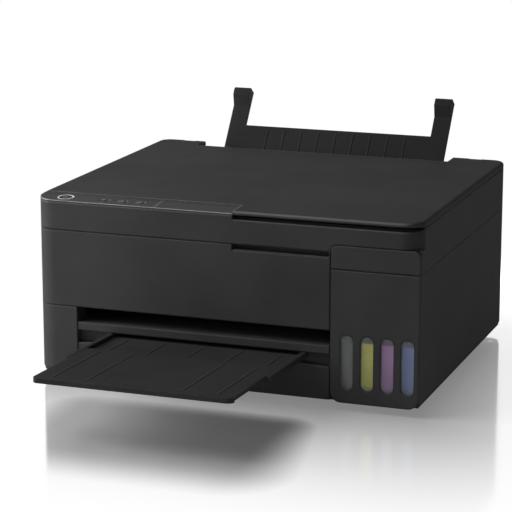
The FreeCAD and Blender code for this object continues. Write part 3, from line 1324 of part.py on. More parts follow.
def pieces():
    """Every piece of the printer by its name."""
    made = {
        "base_pan": base_pan(),
        "rubber_feet": rubber_feet(),
        "case_screws": case_screws(),
        "main_case": main_case(),
        "front_panel": front_panel(),
        "lower_front": lower_front(),
        "rear_feed_housing": rear_feed_housing(),
        "output_tray": output_tray(),
        "tray_extension": tray_extension(),
        "paper_stopper": paper_stopper(),
        "tank_bezel": tank_bezel(),
        "ink_tanks": ink_tanks(),
        "ink_fill": ink_fill(),
        "tank_cover": tank_cover(),
        "scanner_tub": scanner_tub(),
        "scanner_top_frame": scanner_top_frame(),
        "scanner_glass": scanner_glass(),
        "scan_rod": scan_rod(),
        "scan_bar": scan_bar(),
        "control_panel": control_panel(),
        "scanner_hinges": scanner_hinges(),
        "document_lid": document_lid(),
        "document_mat": document_mat(),
        "lid_hinges": lid_hinges(),
        "feeder_back_plate": feeder_back_plate(),
        "paper_support": paper_support(),
        "edge_guide_left": edge_guide(-1),
        "edge_guide_right": edge_guide(1),
        "feeder_guard": feeder_guard(),
        "side_frames": side_frames(),
        "feed_roller": feed_roller(),
        "exit_roller": exit_roller(),
        "pick_roller": pick_roller(),
        "feed_gear": train_gear("feed", FEED_TEETH, FEED_SHAFT),
        "idler_gear": train_gear("idler", IDLER_TEETH, FEED_SHAFT + PIN_GAP),
        "exit_gear": train_gear("exit", EXIT_TEETH, EXIT_SHAFT),
        "motor_pinion": motor_pinion(),
        "feed_motor": feed_motor(),
        "carriage_motor": carriage_motor(),
        "drive_pulley": pulley(1),
        "idler_pulley": pulley(-1),
        "carriage_belt": carriage_belt(),
        "carriage_rail": carriage_rail(),
        "print_carriage": print_carriage(),
        "print_head": print_head(),
        "platen": platen(),
        "capping_station": capping_station(),
        "waste_ink_pad": waste_ink_pad(),
        "power_supply": power_supply(),
        "main_board": main_board(),
        "usb_port": usb_port(),
        "power_inlet": power_inlet(),
    }
    for name in BUTTON_XS:
        made[name] = button(name)
    for colour, x in zip(INK_NAMES, WINDOW_XS):
        made["tank_cap_" + colour] = tank_cap(x)
    return made


def middle_y(made):
    """The middle of the whole printer from front to back."""
    whole = Part.makeCompound(list(made.values())).BoundBox
    return (whole.YMin + whole.YMax) / 2


os.makedirs("parts", exist_ok=True)
all_pieces = pieces()
for piece_name, piece_shape in all_pieces.items():
    save(piece_name, piece_shape, middle_y(all_pieces))
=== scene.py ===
"""Finishes, small details, studio and camera for a tank-fed inkjet printer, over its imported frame."""

from __future__ import annotations

import json
import logging
import math
from abc import ABC, abstractmethod
from dataclasses import dataclass
from enum import Enum
from typing import Any, Callable, Mapping, Sequence, Union

import bmesh
import bpy
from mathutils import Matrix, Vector


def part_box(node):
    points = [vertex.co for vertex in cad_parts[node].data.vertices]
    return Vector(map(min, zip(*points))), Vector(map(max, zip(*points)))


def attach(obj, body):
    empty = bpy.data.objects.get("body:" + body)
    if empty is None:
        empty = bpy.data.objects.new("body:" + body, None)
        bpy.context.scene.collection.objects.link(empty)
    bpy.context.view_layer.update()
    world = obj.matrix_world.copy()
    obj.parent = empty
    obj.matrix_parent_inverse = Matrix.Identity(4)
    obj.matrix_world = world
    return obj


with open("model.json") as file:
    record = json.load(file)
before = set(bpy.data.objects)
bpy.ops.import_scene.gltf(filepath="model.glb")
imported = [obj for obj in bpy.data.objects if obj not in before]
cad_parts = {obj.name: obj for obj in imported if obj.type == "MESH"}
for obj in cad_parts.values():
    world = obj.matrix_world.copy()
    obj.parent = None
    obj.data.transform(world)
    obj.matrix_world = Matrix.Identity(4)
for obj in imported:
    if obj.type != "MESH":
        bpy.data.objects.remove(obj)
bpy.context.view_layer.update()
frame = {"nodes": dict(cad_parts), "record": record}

log = logging.getLogger("inkjet_printer")

MM = 0.001
Colour = tuple[float, float, float, float]
Point = tuple[float, float]
Triple = tuple[float, float, float]
Value = Union[float, bool, Sequence[float], "Signal"]
Inputs = Mapping[Union[int, str], Value]
Lay = Callable[[float, float], Vector]
WHITE: Colour = (1.0, 1.0, 1.0, 1.0)


def tint(text: str, strength: float = 1.0) -> Colour:
    """Turn a six-digit hex colour into linear light.

    Args:
        text: The colour, such as "#2b2b2d".
        strength: A factor on the linear light.

    Returns:
        Red, green, blue and an alpha of one.
    """
    parts = [int(text[i:i + 2], 16) / 255 for i in (1, 3, 5)]
    linear = [p / 12.92 if p <= 0.04045 else ((p + 0.055) / 1.055) ** 2.4 for p in parts]
    red, green, blue = (strength * p for p in linear)
    return red, green, blue, 1.0


def in_metres(x: float, y: float, z: float) -> Triple:
    """Give a size or a step that is written in millimetres in metres."""
    return x * MM, y * MM, z * MM


def from_front(x: float, y: float, z: float) -> Triple:
    """Give the place of a point in millimetres, with y counted back from the case's front plane."""
    return x * MM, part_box("main_case")[0].y + y * MM, z * MM


def add_object(name: str, data: bpy.types.ID) -> bpy.types.Object:
    """Add an object with its data to the scene and give it back."""
    made = bpy.data.objects.new(name, data)
    bpy.context.scene.collection.objects.link(made)
    return made


# Node graphs


class Signal:
    """A node's output socket that takes part in Python arithmetic."""

    def __init__(self, graph: Graph, socket: bpy.types.NodeSocket) -> None:
        """Hold the socket and the graph that it belongs to."""
        self.graph = graph
        self.socket = socket

    def _maths(self, operation: str, first: Value, second: Value) -> Signal:
        """Add one Math node and give its result."""
        return self.graph.node("ShaderNodeMath", {"operation": operation}, {0: first, 1: second})

    def __add__(self, other: Value) -> Signal:
        """Add a value to the signal."""
        return self._maths("ADD", self, other)

    __radd__ = __add__

    def __sub__(self, other: Value) -> Signal:
        """Take a value from the signal."""
        return self._maths("SUBTRACT", self, other)

    def __rsub__(self, other: Value) -> Signal:
        """Take the signal from a value."""
        return self._maths("SUBTRACT", other, self)

    def __mul__(self, other: Value) -> Signal:
        """Multiply the signal by a value."""
        return self._maths("MULTIPLY", self, other)

    __rmul__ = __mul__

    def least(self, other: Value) -> Signal:
        """Give the smaller of the signal and a value."""
        return self._maths("MINIMUM", self, other)

    def rise(self, low: float, high: float) -> Signal:
        """Give a smooth rise from 0 to 1 while the signal goes from low to high."""
        return self.graph.node("ShaderNodeMapRange", {"interpolation_type": "SMOOTHSTEP"},
                               {"Value": self, "From Min": low, "From Max": high})


class Graph:
    """A node tree whose nodes are made from a type, settings and socket values."""

    def __init__(self, tree: bpy.types.NodeTree) -> None:
        """Take over a node tree and empty it."""
        self.tree = tree
        self.tree.nodes.clear()

    def feed(self, socket: bpy.types.NodeSocket, value: Value) -> None:
        """Link a signal to a socket, or set the socket's own value."""
        if isinstance(value, Signal):
            self.tree.links.new(value.socket, socket)
        else:
            socket.default_value = value

    def make_node(self, kind: str, settings: Mapping[str, Any] | None = None,
                  inputs: Inputs | None = None) -> bpy.types.Node:
        """Make one node.

        Args:
            kind: The node's Blender type.
            settings: Its own properties, and a stepped ramp's "stops" as (place, colour) pairs.
            inputs: Values or signals for its sockets, by name or number.

        Returns:
            The node.
        """
        made = self.tree.nodes.new(kind)
        for name, value in (settings or {}).items():
            if name == "stops":
                made.color_ramp.interpolation = "CONSTANT"
                while len(made.color_ramp.elements) < len(value):
                    made.color_ramp.elements.new(1.0)
                for stop, (place, colour) in zip(made.color_ramp.elements, value):
                    stop.position = place
                    stop.color = colour
            else:
                setattr(made, name, value)
        for name, value in (inputs or {}).items():
            self.feed(made.inputs[name], value)
        return made

    def node(self, kind: str, settings: Mapping[str, Any] | None = None,
             inputs: Inputs | None = None, output: int | str = 0) -> Signal:
        """Make one node and give one of its outputs, by name or number."""
        return Signal(self, self.make_node(kind, settings, inputs).outputs[output])

    def seen(self) -> Signal:
        """Give 1 on rays from the camera, a gloss or a clear piece, and 0 on the rest."""
        camera, gloss, clear = (self.node("ShaderNodeLightPath", output=f"Is {kind} Ray")
                                for kind in ("Camera", "Glossy", "Transmission"))
        return (camera + gloss + clear).rise(0.0, 1.0)


class Paint(Graph):
    """The node graph of one material."""

    def __init__(self, name: str) -> None:
        """Start a new material with an empty graph."""
        self.material = bpy.data.materials.new(name)
        self.material.use_nodes = True
        super().__init__(self.material.node_tree)

    def place(self, stretch: Triple = (1.0, 1.0, 1.0)) -> Signal:
        """Give the object coordinates, stretched along each axis."""
        own = self.node("ShaderNodeTexCoord", output="Object")
        return self.node("ShaderNodeMapping", {}, {"Vector": own, "Scale": stretch})

    def noise(self, place: Signal, grain: float, detail: float) -> Signal:
        """Give a noise from 0 to 1 with patches of a size in metres and a number of finer layers."""
        return self.node("ShaderNodeTexNoise", {}, {"Vector": place, "Scale": 1.0 / grain, "Detail": detail})

    def cells(self, place: Signal, size: float) -> Signal:
        """Give the distance to the middle of cells of a size in metres."""
        return self.node("ShaderNodeTexVoronoi", {}, {"Vector": place, "Scale": 1.0 / size}, "Distance")

    def vector(self, operation: str, first: Value, second: Value = (0.0, 0.0, 0.0),
               output: int | str = 0) -> Signal:
        """Add one Vector Math node and give its result."""
        return self.node("ShaderNodeVectorMath", {"operation": operation}, {0: first, 1: second}, output)

    def part_of(self, vector: Signal, axis: str) -> Signal:
        """Give one axis of a vector."""
        return self.node("ShaderNodeSeparateXYZ", {}, {"Vector": vector}, axis)

    def lean(self, normal: Signal, axis: str) -> Signal:
        """Give how far a normal points along one of the piece's own axes, from -1 to 1."""
        turn = {"vector_type": "NORMAL", "convert_from": "WORLD", "convert_to": "OBJECT"}
        return self.part_of(self.node("ShaderNodeVectorTransform", turn, {"Vector": normal}), axis)

    def mix(self, share: Value, first: Value, second: Value) -> Signal:
        """Mix two colours, all of the first at a share of 0 and all of the second at 1."""
        return self.node("ShaderNodeMix", {"data_type": "RGBA"}, {0: share, 6: first, 7: second}, 2)

    def bump(self, height: Signal, depth: float, normal: Signal | None = None) -> Signal:
        """Turn a height from 0 to 1 into a surface normal.

        Args:
            height: The height over the surface.
            depth: The distance in metres that a height of 1 stands for.
            normal: The normal to start from, if not the surface's own.

        Returns:
            The normal.
        """
        inputs: dict[int | str, Value] = {"Strength": 0.6, "Distance": depth, "Height": height}
        if normal is not None:
            inputs["Normal"] = normal
        return self.node("ShaderNodeBump", {}, inputs)

    def surface(self, inputs: Inputs) -> bpy.types.Material:
        """Close the graph with a Principled shader and give the finished material."""
        shader = self.node("ShaderNodeBsdfPrincipled", {}, inputs)
        self.make_node("ShaderNodeOutputMaterial", {}, {"Surface": shader})
        return self.material


# Finishes


class Finish(ABC):
    """Anything that can make a material."""

    def make(self, name: str) -> bpy.types.Material:
        """Make the material under a name."""
        paint = Paint(name)
        return paint.surface(self.cover(paint))

    @abstractmethod
    def cover(self, paint: Paint) -> Inputs:
        """Build the finish in a material's graph.

        Args:
            paint: The material.

        Returns:
            What goes into its shader.
        """


@dataclass(frozen=True)
class MouldedPlastic(Finish):
    """Opaque plastic from a spark-textured mould.

    Its soft edges get a painted highlight above and painted shade below, both fading out on edges that face
    right.
    A painted highlight lies on its rounded shoulders too, and the highlighted places are glossier.
    """

    colour: str
    roughness: float = 0.64
    shine: float = 0.012
    grain: float = 0.45 * MM
    edge: float = 1.5 * MM
    # The last four fields set the painted highlight on upper edges, how bright it is, the painted shade on
    # lower edges and the painted highlight on rounded shoulders.
    edge_highlight: float = 0.4
    highlight_gain: float = 4.5
    edge_shade: float = 1.0
    shoulder_highlight: float = 0.0

    def cover(self, paint: Paint) -> Inputs:
        """Build the finish."""
        place = paint.place()
        grain = paint.noise(place, self.grain, 2.0)
        cloud = paint.noise(place, 70 * MM, 4.0)
        rounded = paint.node("ShaderNodeBevel", {"samples": 4}, {"Radius": self.edge})
        facing = paint.node("ShaderNodeNewGeometry", output="Normal")
        rim = (1.0 - paint.vector("DOT_PRODUCT", rounded, facing, "Value")).rise(0.005, 0.15)
        upward = paint.lean(rounded, "Z")
        slope = paint.lean(facing, "Z")
        # Edges that face right get less of the painted highlight and painted shade.
        not_facing_right = 1.0 - paint.lean(rounded, "X").rise(0.1, 0.5)
        # Painted highlight on upper edges and on shoulders that slope up; the same mask also makes them
        # glossier.
        shoulder = slope.rise(0.15, 0.45) * (1.0 - slope.rise(0.8, 0.97))
        highlight_and_gloss = (rim * upward.rise(0.1, 0.6) * self.edge_highlight + shoulder * self.shoulder_highlight) * not_facing_right
        # Painted shade on lower edges.
        lower_edge_shade = rim * (0.3 - upward).rise(0.0, 0.5) * (not_facing_right * self.edge_shade)
        body = paint.mix(cloud.rise(0.3, 0.7), tint(self.colour, 0.9), tint(self.colour, 1.1))
        speckled = paint.mix(grain.rise(0.55, 0.8) * 0.35, body, tint(self.colour, 1.6))
        highlighted = paint.mix(highlight_and_gloss, speckled, tint(self.colour, self.highlight_gain))
        return {
            # Base colour lightened by the painted highlight and darkened by the painted edge shade.
            "Base Color": paint.mix(lower_edge_shade, highlighted, tint(self.colour, 0.1)),
            "Roughness": self.roughness + (grain - 0.5) * 0.14 + (cloud - 0.5) * 0.06 - highlight_and_gloss * 0.15,
            "Specular IOR Level": self.shine,
            "Coat Weight": highlight_and_gloss,
            "Coat Roughness": 0.3,
            "Normal": paint.bump(grain, 0.05 * MM, rounded),
        }


@dataclass(frozen=True)
class SmoothPlastic(MouldedPlastic):
    """Plastic of small smooth mouldings, such as caps and gears, with fine edges."""

    roughness: float = 0.45
    shine: float = 0.2
    edge: float = 0.6 * MM
    # Weaker painted edge highlight and painted edge shade.
    edge_highlight: float = 0.05
    edge_shade: float = 0.3


@dataclass(frozen=True)
class SmokyPlastic(Finish):
    """Half-clear plastic that veils what lies behind it, frosted from a fill line up."""

    colour: str
    veil: float = 0.13
    frost: float = 0.015
    fill_line: float = 64 * MM
    roughness: float = 0.24

    def cover(self, paint: Paint) -> Inputs:
        """Build the finish."""
        flow = paint.noise(paint.place((1.0, 1.0, 0.25)), 9 * MM, 3.0)
        specks = paint.noise(paint.place(), 0.6 * MM, 2.0)
        above = paint.part_of(paint.place(), "Z").rise(self.fill_line, self.fill_line + 4 * MM)
        body = paint.mix(flow.rise(0.3, 0.7), tint(self.colour, 0.86), tint(self.colour))
        return {
            "Base Color": body,
            "Roughness": self.roughness + (flow - 0.5) * 0.08 + above * 0.15,
            "Alpha": self.veil + above * self.frost + (flow - 0.5) * 0.04,
            "Normal": paint.bump(specks, 0.02 * MM),
        }


@dataclass(frozen=True)
class InkBands(Finish):
    """Still ink in four tanks that stand side by side, one colour to each."""

    colours: tuple[str, str, str, str]
    walls: Triple = (0.1294, 0.1484, 0.1674)
    reach: float = 0.2

    def cover(self, paint: Paint) -> Inputs:
        """Build the finish."""
        place = paint.place()
        across = paint.part_of(place, "X") * (1.0 / self.reach)
        starts = (0.0, *(wall / self.reach for wall in self.walls))
        stops = [(start, tint(text)) for start, text in zip(starts, self.colours)]
        band = paint.node("ShaderNodeValToRGB", {"stops": stops}, {"Fac": across})
        swirl = paint.noise(paint.place((1.0, 1.0, 0.5)), 16 * MM, 3.0)
        # The ink is made darker towards the bottom of the tanks.
        depth = 1.0 - paint.part_of(place, "Z").rise(0.01, 0.07)
        darker_below = paint.mix(depth * 0.25, band, tint("#101012"))
        shaded = paint.mix(swirl.rise(0.4, 0.75) * 0.15, darker_below, tint("#17171a"))
        return {
            "Base Color": shaded,
            "Roughness": 0.1 + swirl * 0.1,
            "Coat Weight": 0.4,
            "IOR": 1.34,
        }


@dataclass(frozen=True)
class BrushedSteel(Finish):
    """Bare sheet or bar steel with fine brush lines along one axis and a few dull patches."""

    colour: str
    grain: Triple = (0.04, 1.0, 1.0)

    def cover(self, paint: Paint) -> Inputs:
        """Build the finish."""
        lines = paint.noise(paint.place(self.grain), 0.35 * MM, 2.0)
        patch = paint.noise(paint.place(), 24 * MM, 3.0)
        body = paint.mix(lines.rise(0.3, 0.7), tint(self.colour, 0.82), tint(self.colour))
        dull = paint.mix(patch.rise(0.55, 0.75) * 0.3, body, tint(self.colour, 0.6))
        return {
            "Base Color": dull,
            "Metallic": 1.0,
            "Roughness": 0.26 + lines * 0.12 + patch * 0.1,
            "Normal": paint.bump(lines, 0.01 * MM),
        }


@dataclass(frozen=True)
class PlateGlass(Finish):
    """Clear flat glass with a faint haze of handling."""

    colour: str

    def cover(self, paint: Paint) -> Inputs:
        """Build the finish."""
        haze = paint.noise(paint.place(), 30 * MM, 4.0)
        body = paint.mix(haze, tint(self.colour, 0.95), tint(self.colour, 1.05))
        return {
            "Base Color": body,
            "Roughness": 0.04 + haze.rise(0.5, 0.8) * 0.08,
            "Alpha": 0.16 + haze * 0.06,
            "IOR": 1.52,
            "Specular IOR Level": 1.0,
        }


@dataclass(frozen=True)
class SoftRubber(Finish):
    """Dull dark rubber with a bloomed, slightly pitted skin."""

    colour: str

    def cover(self, paint: Paint) -> Inputs:
        """Build the finish."""
        place = paint.place()
        pits = paint.cells(place, 0.8 * MM)
        bloom = paint.noise(place, 6 * MM, 4.0)
        body = paint.mix(bloom.rise(0.45, 0.75) * 0.5, tint(self.colour), tint("#3b3a39"))
        return {
            "Base Color": body,
            "Roughness": 0.78 + (bloom - 0.5) * 0.15,
            "Specular IOR Level": 0.3,
            "Normal": paint.bump(pits, 0.06 * MM),
        }


@dataclass(frozen=True)
class SoftPad(Finish):
    """A pale pad of foam or felt, with open cells or matted fibres and a little soiling."""

    colour: str
    cell: float
    fibres: Triple = (1.0, 1.0, 1.0)

    def cover(self, paint: Paint) -> Inputs:
        """Build the finish."""
        place = paint.place(self.fibres)
        cells = paint.cells(place, self.cell)
        soil = paint.noise(paint.place(), 35 * MM, 4.0)
        shade = tint(self.colour, 0.72)
        body = paint.mix(cells.rise(0.2, 0.7) * 0.6, tint(self.colour), shade)
        soiled = paint.mix(soil.rise(0.5, 0.8) * 0.35, body, tint("#b9b4a6"))
        return {
            "Base Color": soiled,
            "Roughness": 0.9 - cells * 0.1,
            "Specular IOR Level": 0.2,
            "Normal": paint.bump(cells, 0.3 * MM),
        }


@dataclass(frozen=True)
class CircuitBoard(Finish):
    """Green solder mask over copper tracks, with tinned round pads."""

    mask: str
    pitch: float = 2.5 * MM

    def cover(self, paint: Paint) -> Inputs:
        """Build the finish."""
        place = paint.place()
        wander = paint.noise(place, 20 * MM, 1.0)
        lines = paint.node("ShaderNodeTexWave", {"bands_direction": "Z"}, {
            "Vector": place, "Scale": 0.31 / self.pitch, "Distortion": 1.5, "Detail": 0.0}, "Fac")
        track = lines.rise(0.6, 0.75) * wander.rise(0.42, 0.5)
        pad = 1.0 - paint.cells(place, 2.0 * self.pitch).rise(0.12, 0.16)
        green = paint.mix(track * 0.8, tint(self.mask), tint(self.mask, 2.0))
        return {
            "Base Color": paint.mix(pad, green, tint("#c4c6c2")),
            "Metallic": pad * 0.9,
            "Roughness": 0.42 - track * 0.08 - pad * 0.1,
            "Normal": paint.bump(track, 0.05 * MM),
        }


@dataclass(frozen=True)
class PrintedMark(Finish):
    """A thin printed line, a little uneven in its ink."""

    colour: str

    def cover(self, paint: Paint) -> Inputs:
        """Build the finish."""
        ink = paint.noise(paint.place(), 0.7 * MM, 3.0)
        body = paint.mix(ink.rise(0.3, 0.7), tint(self.colour, 0.86), tint(self.colour))
        return {"Base Color": body, "Roughness": 0.5 + ink * 0.15}


class Wardrobe:
    """Makes each finish once and hands it out by the record's slot or by a mark's name."""

    FINISHES: Mapping[str, Finish] = {
        # The black finishes are near copies of one plastic; besides small steps in colour, roughness and
        # shine, they differ in the strength of their painted edge highlight and painted edge shade.
        "case_black": MouldedPlastic("#363636", edge=2.0 * MM, edge_highlight=0.3),
        "tub_black": MouldedPlastic("#363636", edge=2.6 * MM, edge_highlight=0.5),
        "lid_black": MouldedPlastic("#393939", shine=0.008, edge_highlight=0.8, shoulder_highlight=0.3),
        "strip_black": MouldedPlastic("#393939", roughness=0.58, shine=0.03, edge_highlight=1.0, highlight_gain=12.0),
        "inner_black": MouldedPlastic("#2d2d2d", roughness=0.68, edge=0.8 * MM, edge_highlight=0.3, edge_shade=0.5),
        "button_black": MouldedPlastic("#353535", roughness=0.58, grain=0.3 * MM, edge_highlight=0.1, edge_shade=0.5),
        "station_grey": SmoothPlastic("#838488", roughness=0.55),
        "nylon_pale": SmoothPlastic("#e4e0d4", edge_highlight=0.0),
        "cap_black": SmoothPlastic("#262628", edge_highlight=0.4),
        "cap_yellow": SmoothPlastic("#e4ca21"),
        "cap_magenta": SmoothPlastic("#c2266f"),
        "cap_cyan": SmoothPlastic("#2096c3"),
        "rubber_dark": SoftRubber("#222223"),
        "steel_bare": BrushedSteel("#b4b7ba"),
        "steel_dark": BrushedSteel("#3a3b3d"),
        "tank_clear": SmokyPlastic("#c4c7c8"),
        "ink_liquid": InkBands(("#3a3a3b", "#ffff53", "#d392e0", "#7e99e7")),
        "glass_clear": PlateGlass("#c9d2d3"),
        "foam_pale": SoftPad("#e9e9e5", cell=0.7 * MM),
        "felt_pale": SoftPad("#dad7cd", cell=1.2 * MM, fibres=(0.2, 1.0, 1.0)),
        "board_green": CircuitBoard("#2a6446"),
        "mark_white": PrintedMark("#ffffff"),
        "mark_grey": PrintedMark("#8d939d"),
        "mark_dark": PrintedMark("#161618"),
    }

    SPECIAL: Mapping[str, str] = {
        "control_panel": "strip_black", "scanner_tub": "tub_black", "case_screws": "steel_dark"}

    def __init__(self) -> None:
        """Start with nothing made."""
        self.made: dict[str, bpy.types.Material] = {}

    def take(self, name: str) -> bpy.types.Material:
        """Give a finish by name, made at its first use."""
        if name not in self.made:
            self.made[name] = self.FINISHES[name].make(name)
        return self.made[name]

    def dress_frame(self) -> None:
        """Give every CAD node the finish of its slot, or its own variant of it."""
        for part in frame["record"]["subparts"]:
            name = part["node"]
            finish = self.SPECIAL.get(name, part["material_slot"])
            node = frame["nodes"][name]
            node.data.materials.clear()
            node.data.materials.append(self.take(finish))
            log.info("dressed %s in %s", name, finish)


# Shapes


class ShapeTree:
    """A geometry node tree with named inputs that is grown into plain meshes."""

    def __init__(self, name: str, sockets: Mapping[str, str]) -> None:
        """Make an empty tree with its named inputs.

        Args:
            name: The tree's name.
            sockets: Each input's name and kind of socket, besides Spots and Finish.
        """
        self.group = bpy.data.node_groups.new(name, "GeometryNodeTree")
        self.graph = Graph(self.group)
        self.add = self.graph.node
        face = self.group.interface
        face.new_socket("Geometry", in_out="OUTPUT", socket_type="NodeSocketGeometry")
        for label, kind in {"Spots": "Geometry", **sockets, "Finish": "Material"}.items():
            face.new_socket(label, in_out="INPUT", socket_type="NodeSocket" + kind)
        self.door = self.graph.make_node("NodeGroupInput")

    def inlet(self, label: str) -> Signal:
        """Give one of the tree's own inputs."""
        return Signal(self.graph, self.door.outputs[label])

    def close(self, shape: Signal) -> None:
        """Realise the instances, set the material and link the tree's output."""
        solid = self.add("GeometryNodeRealizeInstances", {}, {"Geometry": shape})
        dressed = self.add("GeometryNodeSetMaterial", {},
                           {"Geometry": solid, "Material": self.inlet("Finish")})
        self.graph.make_node("NodeGroupOutput", {}, {"Geometry": dressed})

    def grow(self, name: str, values: Mapping[str, Any], spots: Sequence[Triple] = ()) -> bpy.types.Object:
        """Run the tree once and keep its result as a plain mesh.

        Args:
            name: The piece's name.
            values: The tree's inputs by name.
            spots: Points that the tree may repeat its shape on.

        Returns:
            The finished piece, at the origin.
        """
        seed = bpy.data.meshes.new(name + "_spots")
        seed.from_pydata(list(spots), [], [])
        piece = add_object(name, seed)
        recipe = piece.modifiers.new("recipe", "NODES")
        recipe.node_group = self.group
        for item in self.group.interface.items_tree:
            if item.in_out == "INPUT" and item.name in values:
                recipe[item.identifier] = values[item.name]
        grown = piece.evaluated_get(bpy.context.evaluated_depsgraph_get())
        mesh = bpy.data.meshes.new_from_object(grown)
        piece.modifiers.remove(recipe)
        piece.data = mesh
        bpy.data.meshes.remove(seed)
        return piece


class Layout(Enum):
    """Ways to set out a repeated rib."""

    ROW = "row"
    RING = "ring"
    SPOTS = "spots"


class RibTree(ShapeTree):
    """Repeats one rib with tapered ends along a row, round a ring or on given spots."""

    def __init__(self, layout: Layout) -> None:
        """Build the tree for one layout."""
        super().__init__("ribs_in_" + layout.value, {
            "Count": "Int", "Start": "Vector", "Step": "Vector",
            "Radius": "Float", "Size": "Vector", "Turn": "Vector",
            "Rungs": "Int"})
        placed = self.add("GeometryNodeInstanceOnPoints", {}, {
            "Points": self.points(layout), "Instance": self.rib(), "Rotation": self.inlet("Turn"),
            "Scale": self.inlet("Size")})
        self.close(placed)

    def points(self, layout: Layout) -> Signal:
        """Give the points that carry the ribs."""
        if layout is Layout.ROW:
            return self.add("GeometryNodeMeshLine", {"mode": "OFFSET"}, {
                "Count": self.inlet("Count"), "Start Location": self.inlet("Start"),
                "Offset": self.inlet("Step")})
        if layout is Layout.RING:
            ring = self.add("GeometryNodeMeshCircle", {},
                            {"Vertices": self.inlet("Count"), "Radius": self.inlet("Radius")})
            return self.add("GeometryNodeTransform", {},
                            {"Geometry": ring, "Translation": self.inlet("Start")})
        return self.inlet("Spots")

    def rib(self) -> Signal:
        """Give one upright rib, 1 across and 1 long, that narrows at both ends."""
        line = self.add("GeometryNodeCurvePrimitiveLine", {},
                        {"Start": (0.0, 0.0, -0.5), "End": (0.0, 0.0, 0.5)})
        spine = self.add("GeometryNodeResampleCurve", {}, {"Curve": line, "Count": self.inlet("Rungs")})
        along = self.add("GeometryNodeSplineParameter", output="Factor") * 2.0 - 1.0
        squared = along * along
        fourth = squared * squared
        girth = 1.02 - fourth * fourth * fourth
        shaped = self.add("GeometryNodeSetCurveRadius", {}, {"Curve": spine, "Radius": girth})
        outline = self.add("GeometryNodeCurvePrimitiveCircle", {}, {"Resolution": 8, "Radius": 0.5})
        solid = self.add("GeometryNodeCurveToMesh", {},
                         {"Curve": shaped, "Profile Curve": outline, "Fill Caps": True})
        return self.add("GeometryNodeSetShadeSmooth", {}, {"Geometry": solid})


class ScatterTree(ShapeTree):
    """Scatters small flat-sided parts over a rectangle that faces +X."""

    def __init__(self) -> None:
        """Build the tree."""
        super().__init__("scattered_parts", {
            "Width": "Float", "Height": "Float", "Gap": "Float",
            "Middle": "Vector", "Least": "Vector", "Most": "Vector",
            "Seed": "Int"})
        sheet = self.add("GeometryNodeMeshGrid", {}, {
            "Size X": self.inlet("Height"), "Size Y": self.inlet("Width"), "Vertices X": 2, "Vertices Y": 2})
        points = self.add("GeometryNodeDistributePointsOnFaces", {"distribute_method": "POISSON"}, {
            "Mesh": sheet, "Distance Min": self.inlet("Gap"), "Density Max": 1.0e6,
            "Seed": self.inlet("Seed")})
        sizes = self.add("FunctionNodeRandomValue", {"data_type": "FLOAT_VECTOR"}, {
            0: self.inlet("Least"), 1: self.inlet("Most"), "Seed": self.inlet("Seed")})
        block = self.add("GeometryNodeMeshCone", {}, {
            "Vertices": 4, "Radius Top": 0.62, "Radius Bottom": 0.7071, "Depth": 1.0})
        square = self.add("GeometryNodeTransform", {},
                          {"Geometry": block, "Rotation": (0.0, 0.0, math.pi / 4)})
        placed = self.add("GeometryNodeInstanceOnPoints", {},
                          {"Points": points, "Instance": square, "Scale": sizes})
        upright = self.add("GeometryNodeTransform", {}, {
            "Geometry": placed, "Rotation": (0.0, math.pi / 2, 0.0), "Translation": self.inlet("Middle")})
        self.close(upright)


@dataclass(frozen=True)
class Stroke:
    """One printed line of even width through points in millimetres."""

    points: tuple[Point, ...]
    width: float
    closed: bool = False

    def sides(self) -> list[tuple[Vector, Vector]]:
        """Give the left and right edge point at each of the line's points."""
        dots = [Vector(point) for point in self.points]
        last = len(dots) - 1
        pairs = []
        for i, dot in enumerate(dots):
            before = dots[i - 1] if i or self.closed else dot
            after = dots[(i + 1) % len(dots)] if i < last or self.closed else dot
            along = (after - before).normalized()
            across = Vector((-along.y, along.x)) * self.width / 2
            if before != dot and after != dot:
                across /= max(0.5, along.dot((after - dot).normalized()))
            pairs.append((dot + across, dot - across))
        return pairs


def arc(centre: Point, radius: float, start: float, stop: float, steps: int) -> tuple[Point, ...]:
    """Give points along a circular arc.

    Args:
        centre: The arc's centre, in millimetres.
        radius: Its radius, in millimetres.
        start: The angle in degrees at which it starts, counted from +X towards +Y.
        stop: The angle at which it ends.
        steps: The number of runs between its points.

    Returns:
        The points, the stop left out where the arc is a whole circle.
    """
    whole = abs(stop - start) == 360.0
    angles = [math.radians(start + (stop - start) * i / steps) for i in range(steps if whole else steps + 1)]
    return tuple((centre[0] + radius * math.cos(a), centre[1] + radius * math.sin(a)) for a in angles)


def seat(piece: bpy.types.Object, body: str) -> None:
    """Ride a finished piece on a body and report it."""
    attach(piece, body)
    log.info("made %s on %s", piece.name, body)


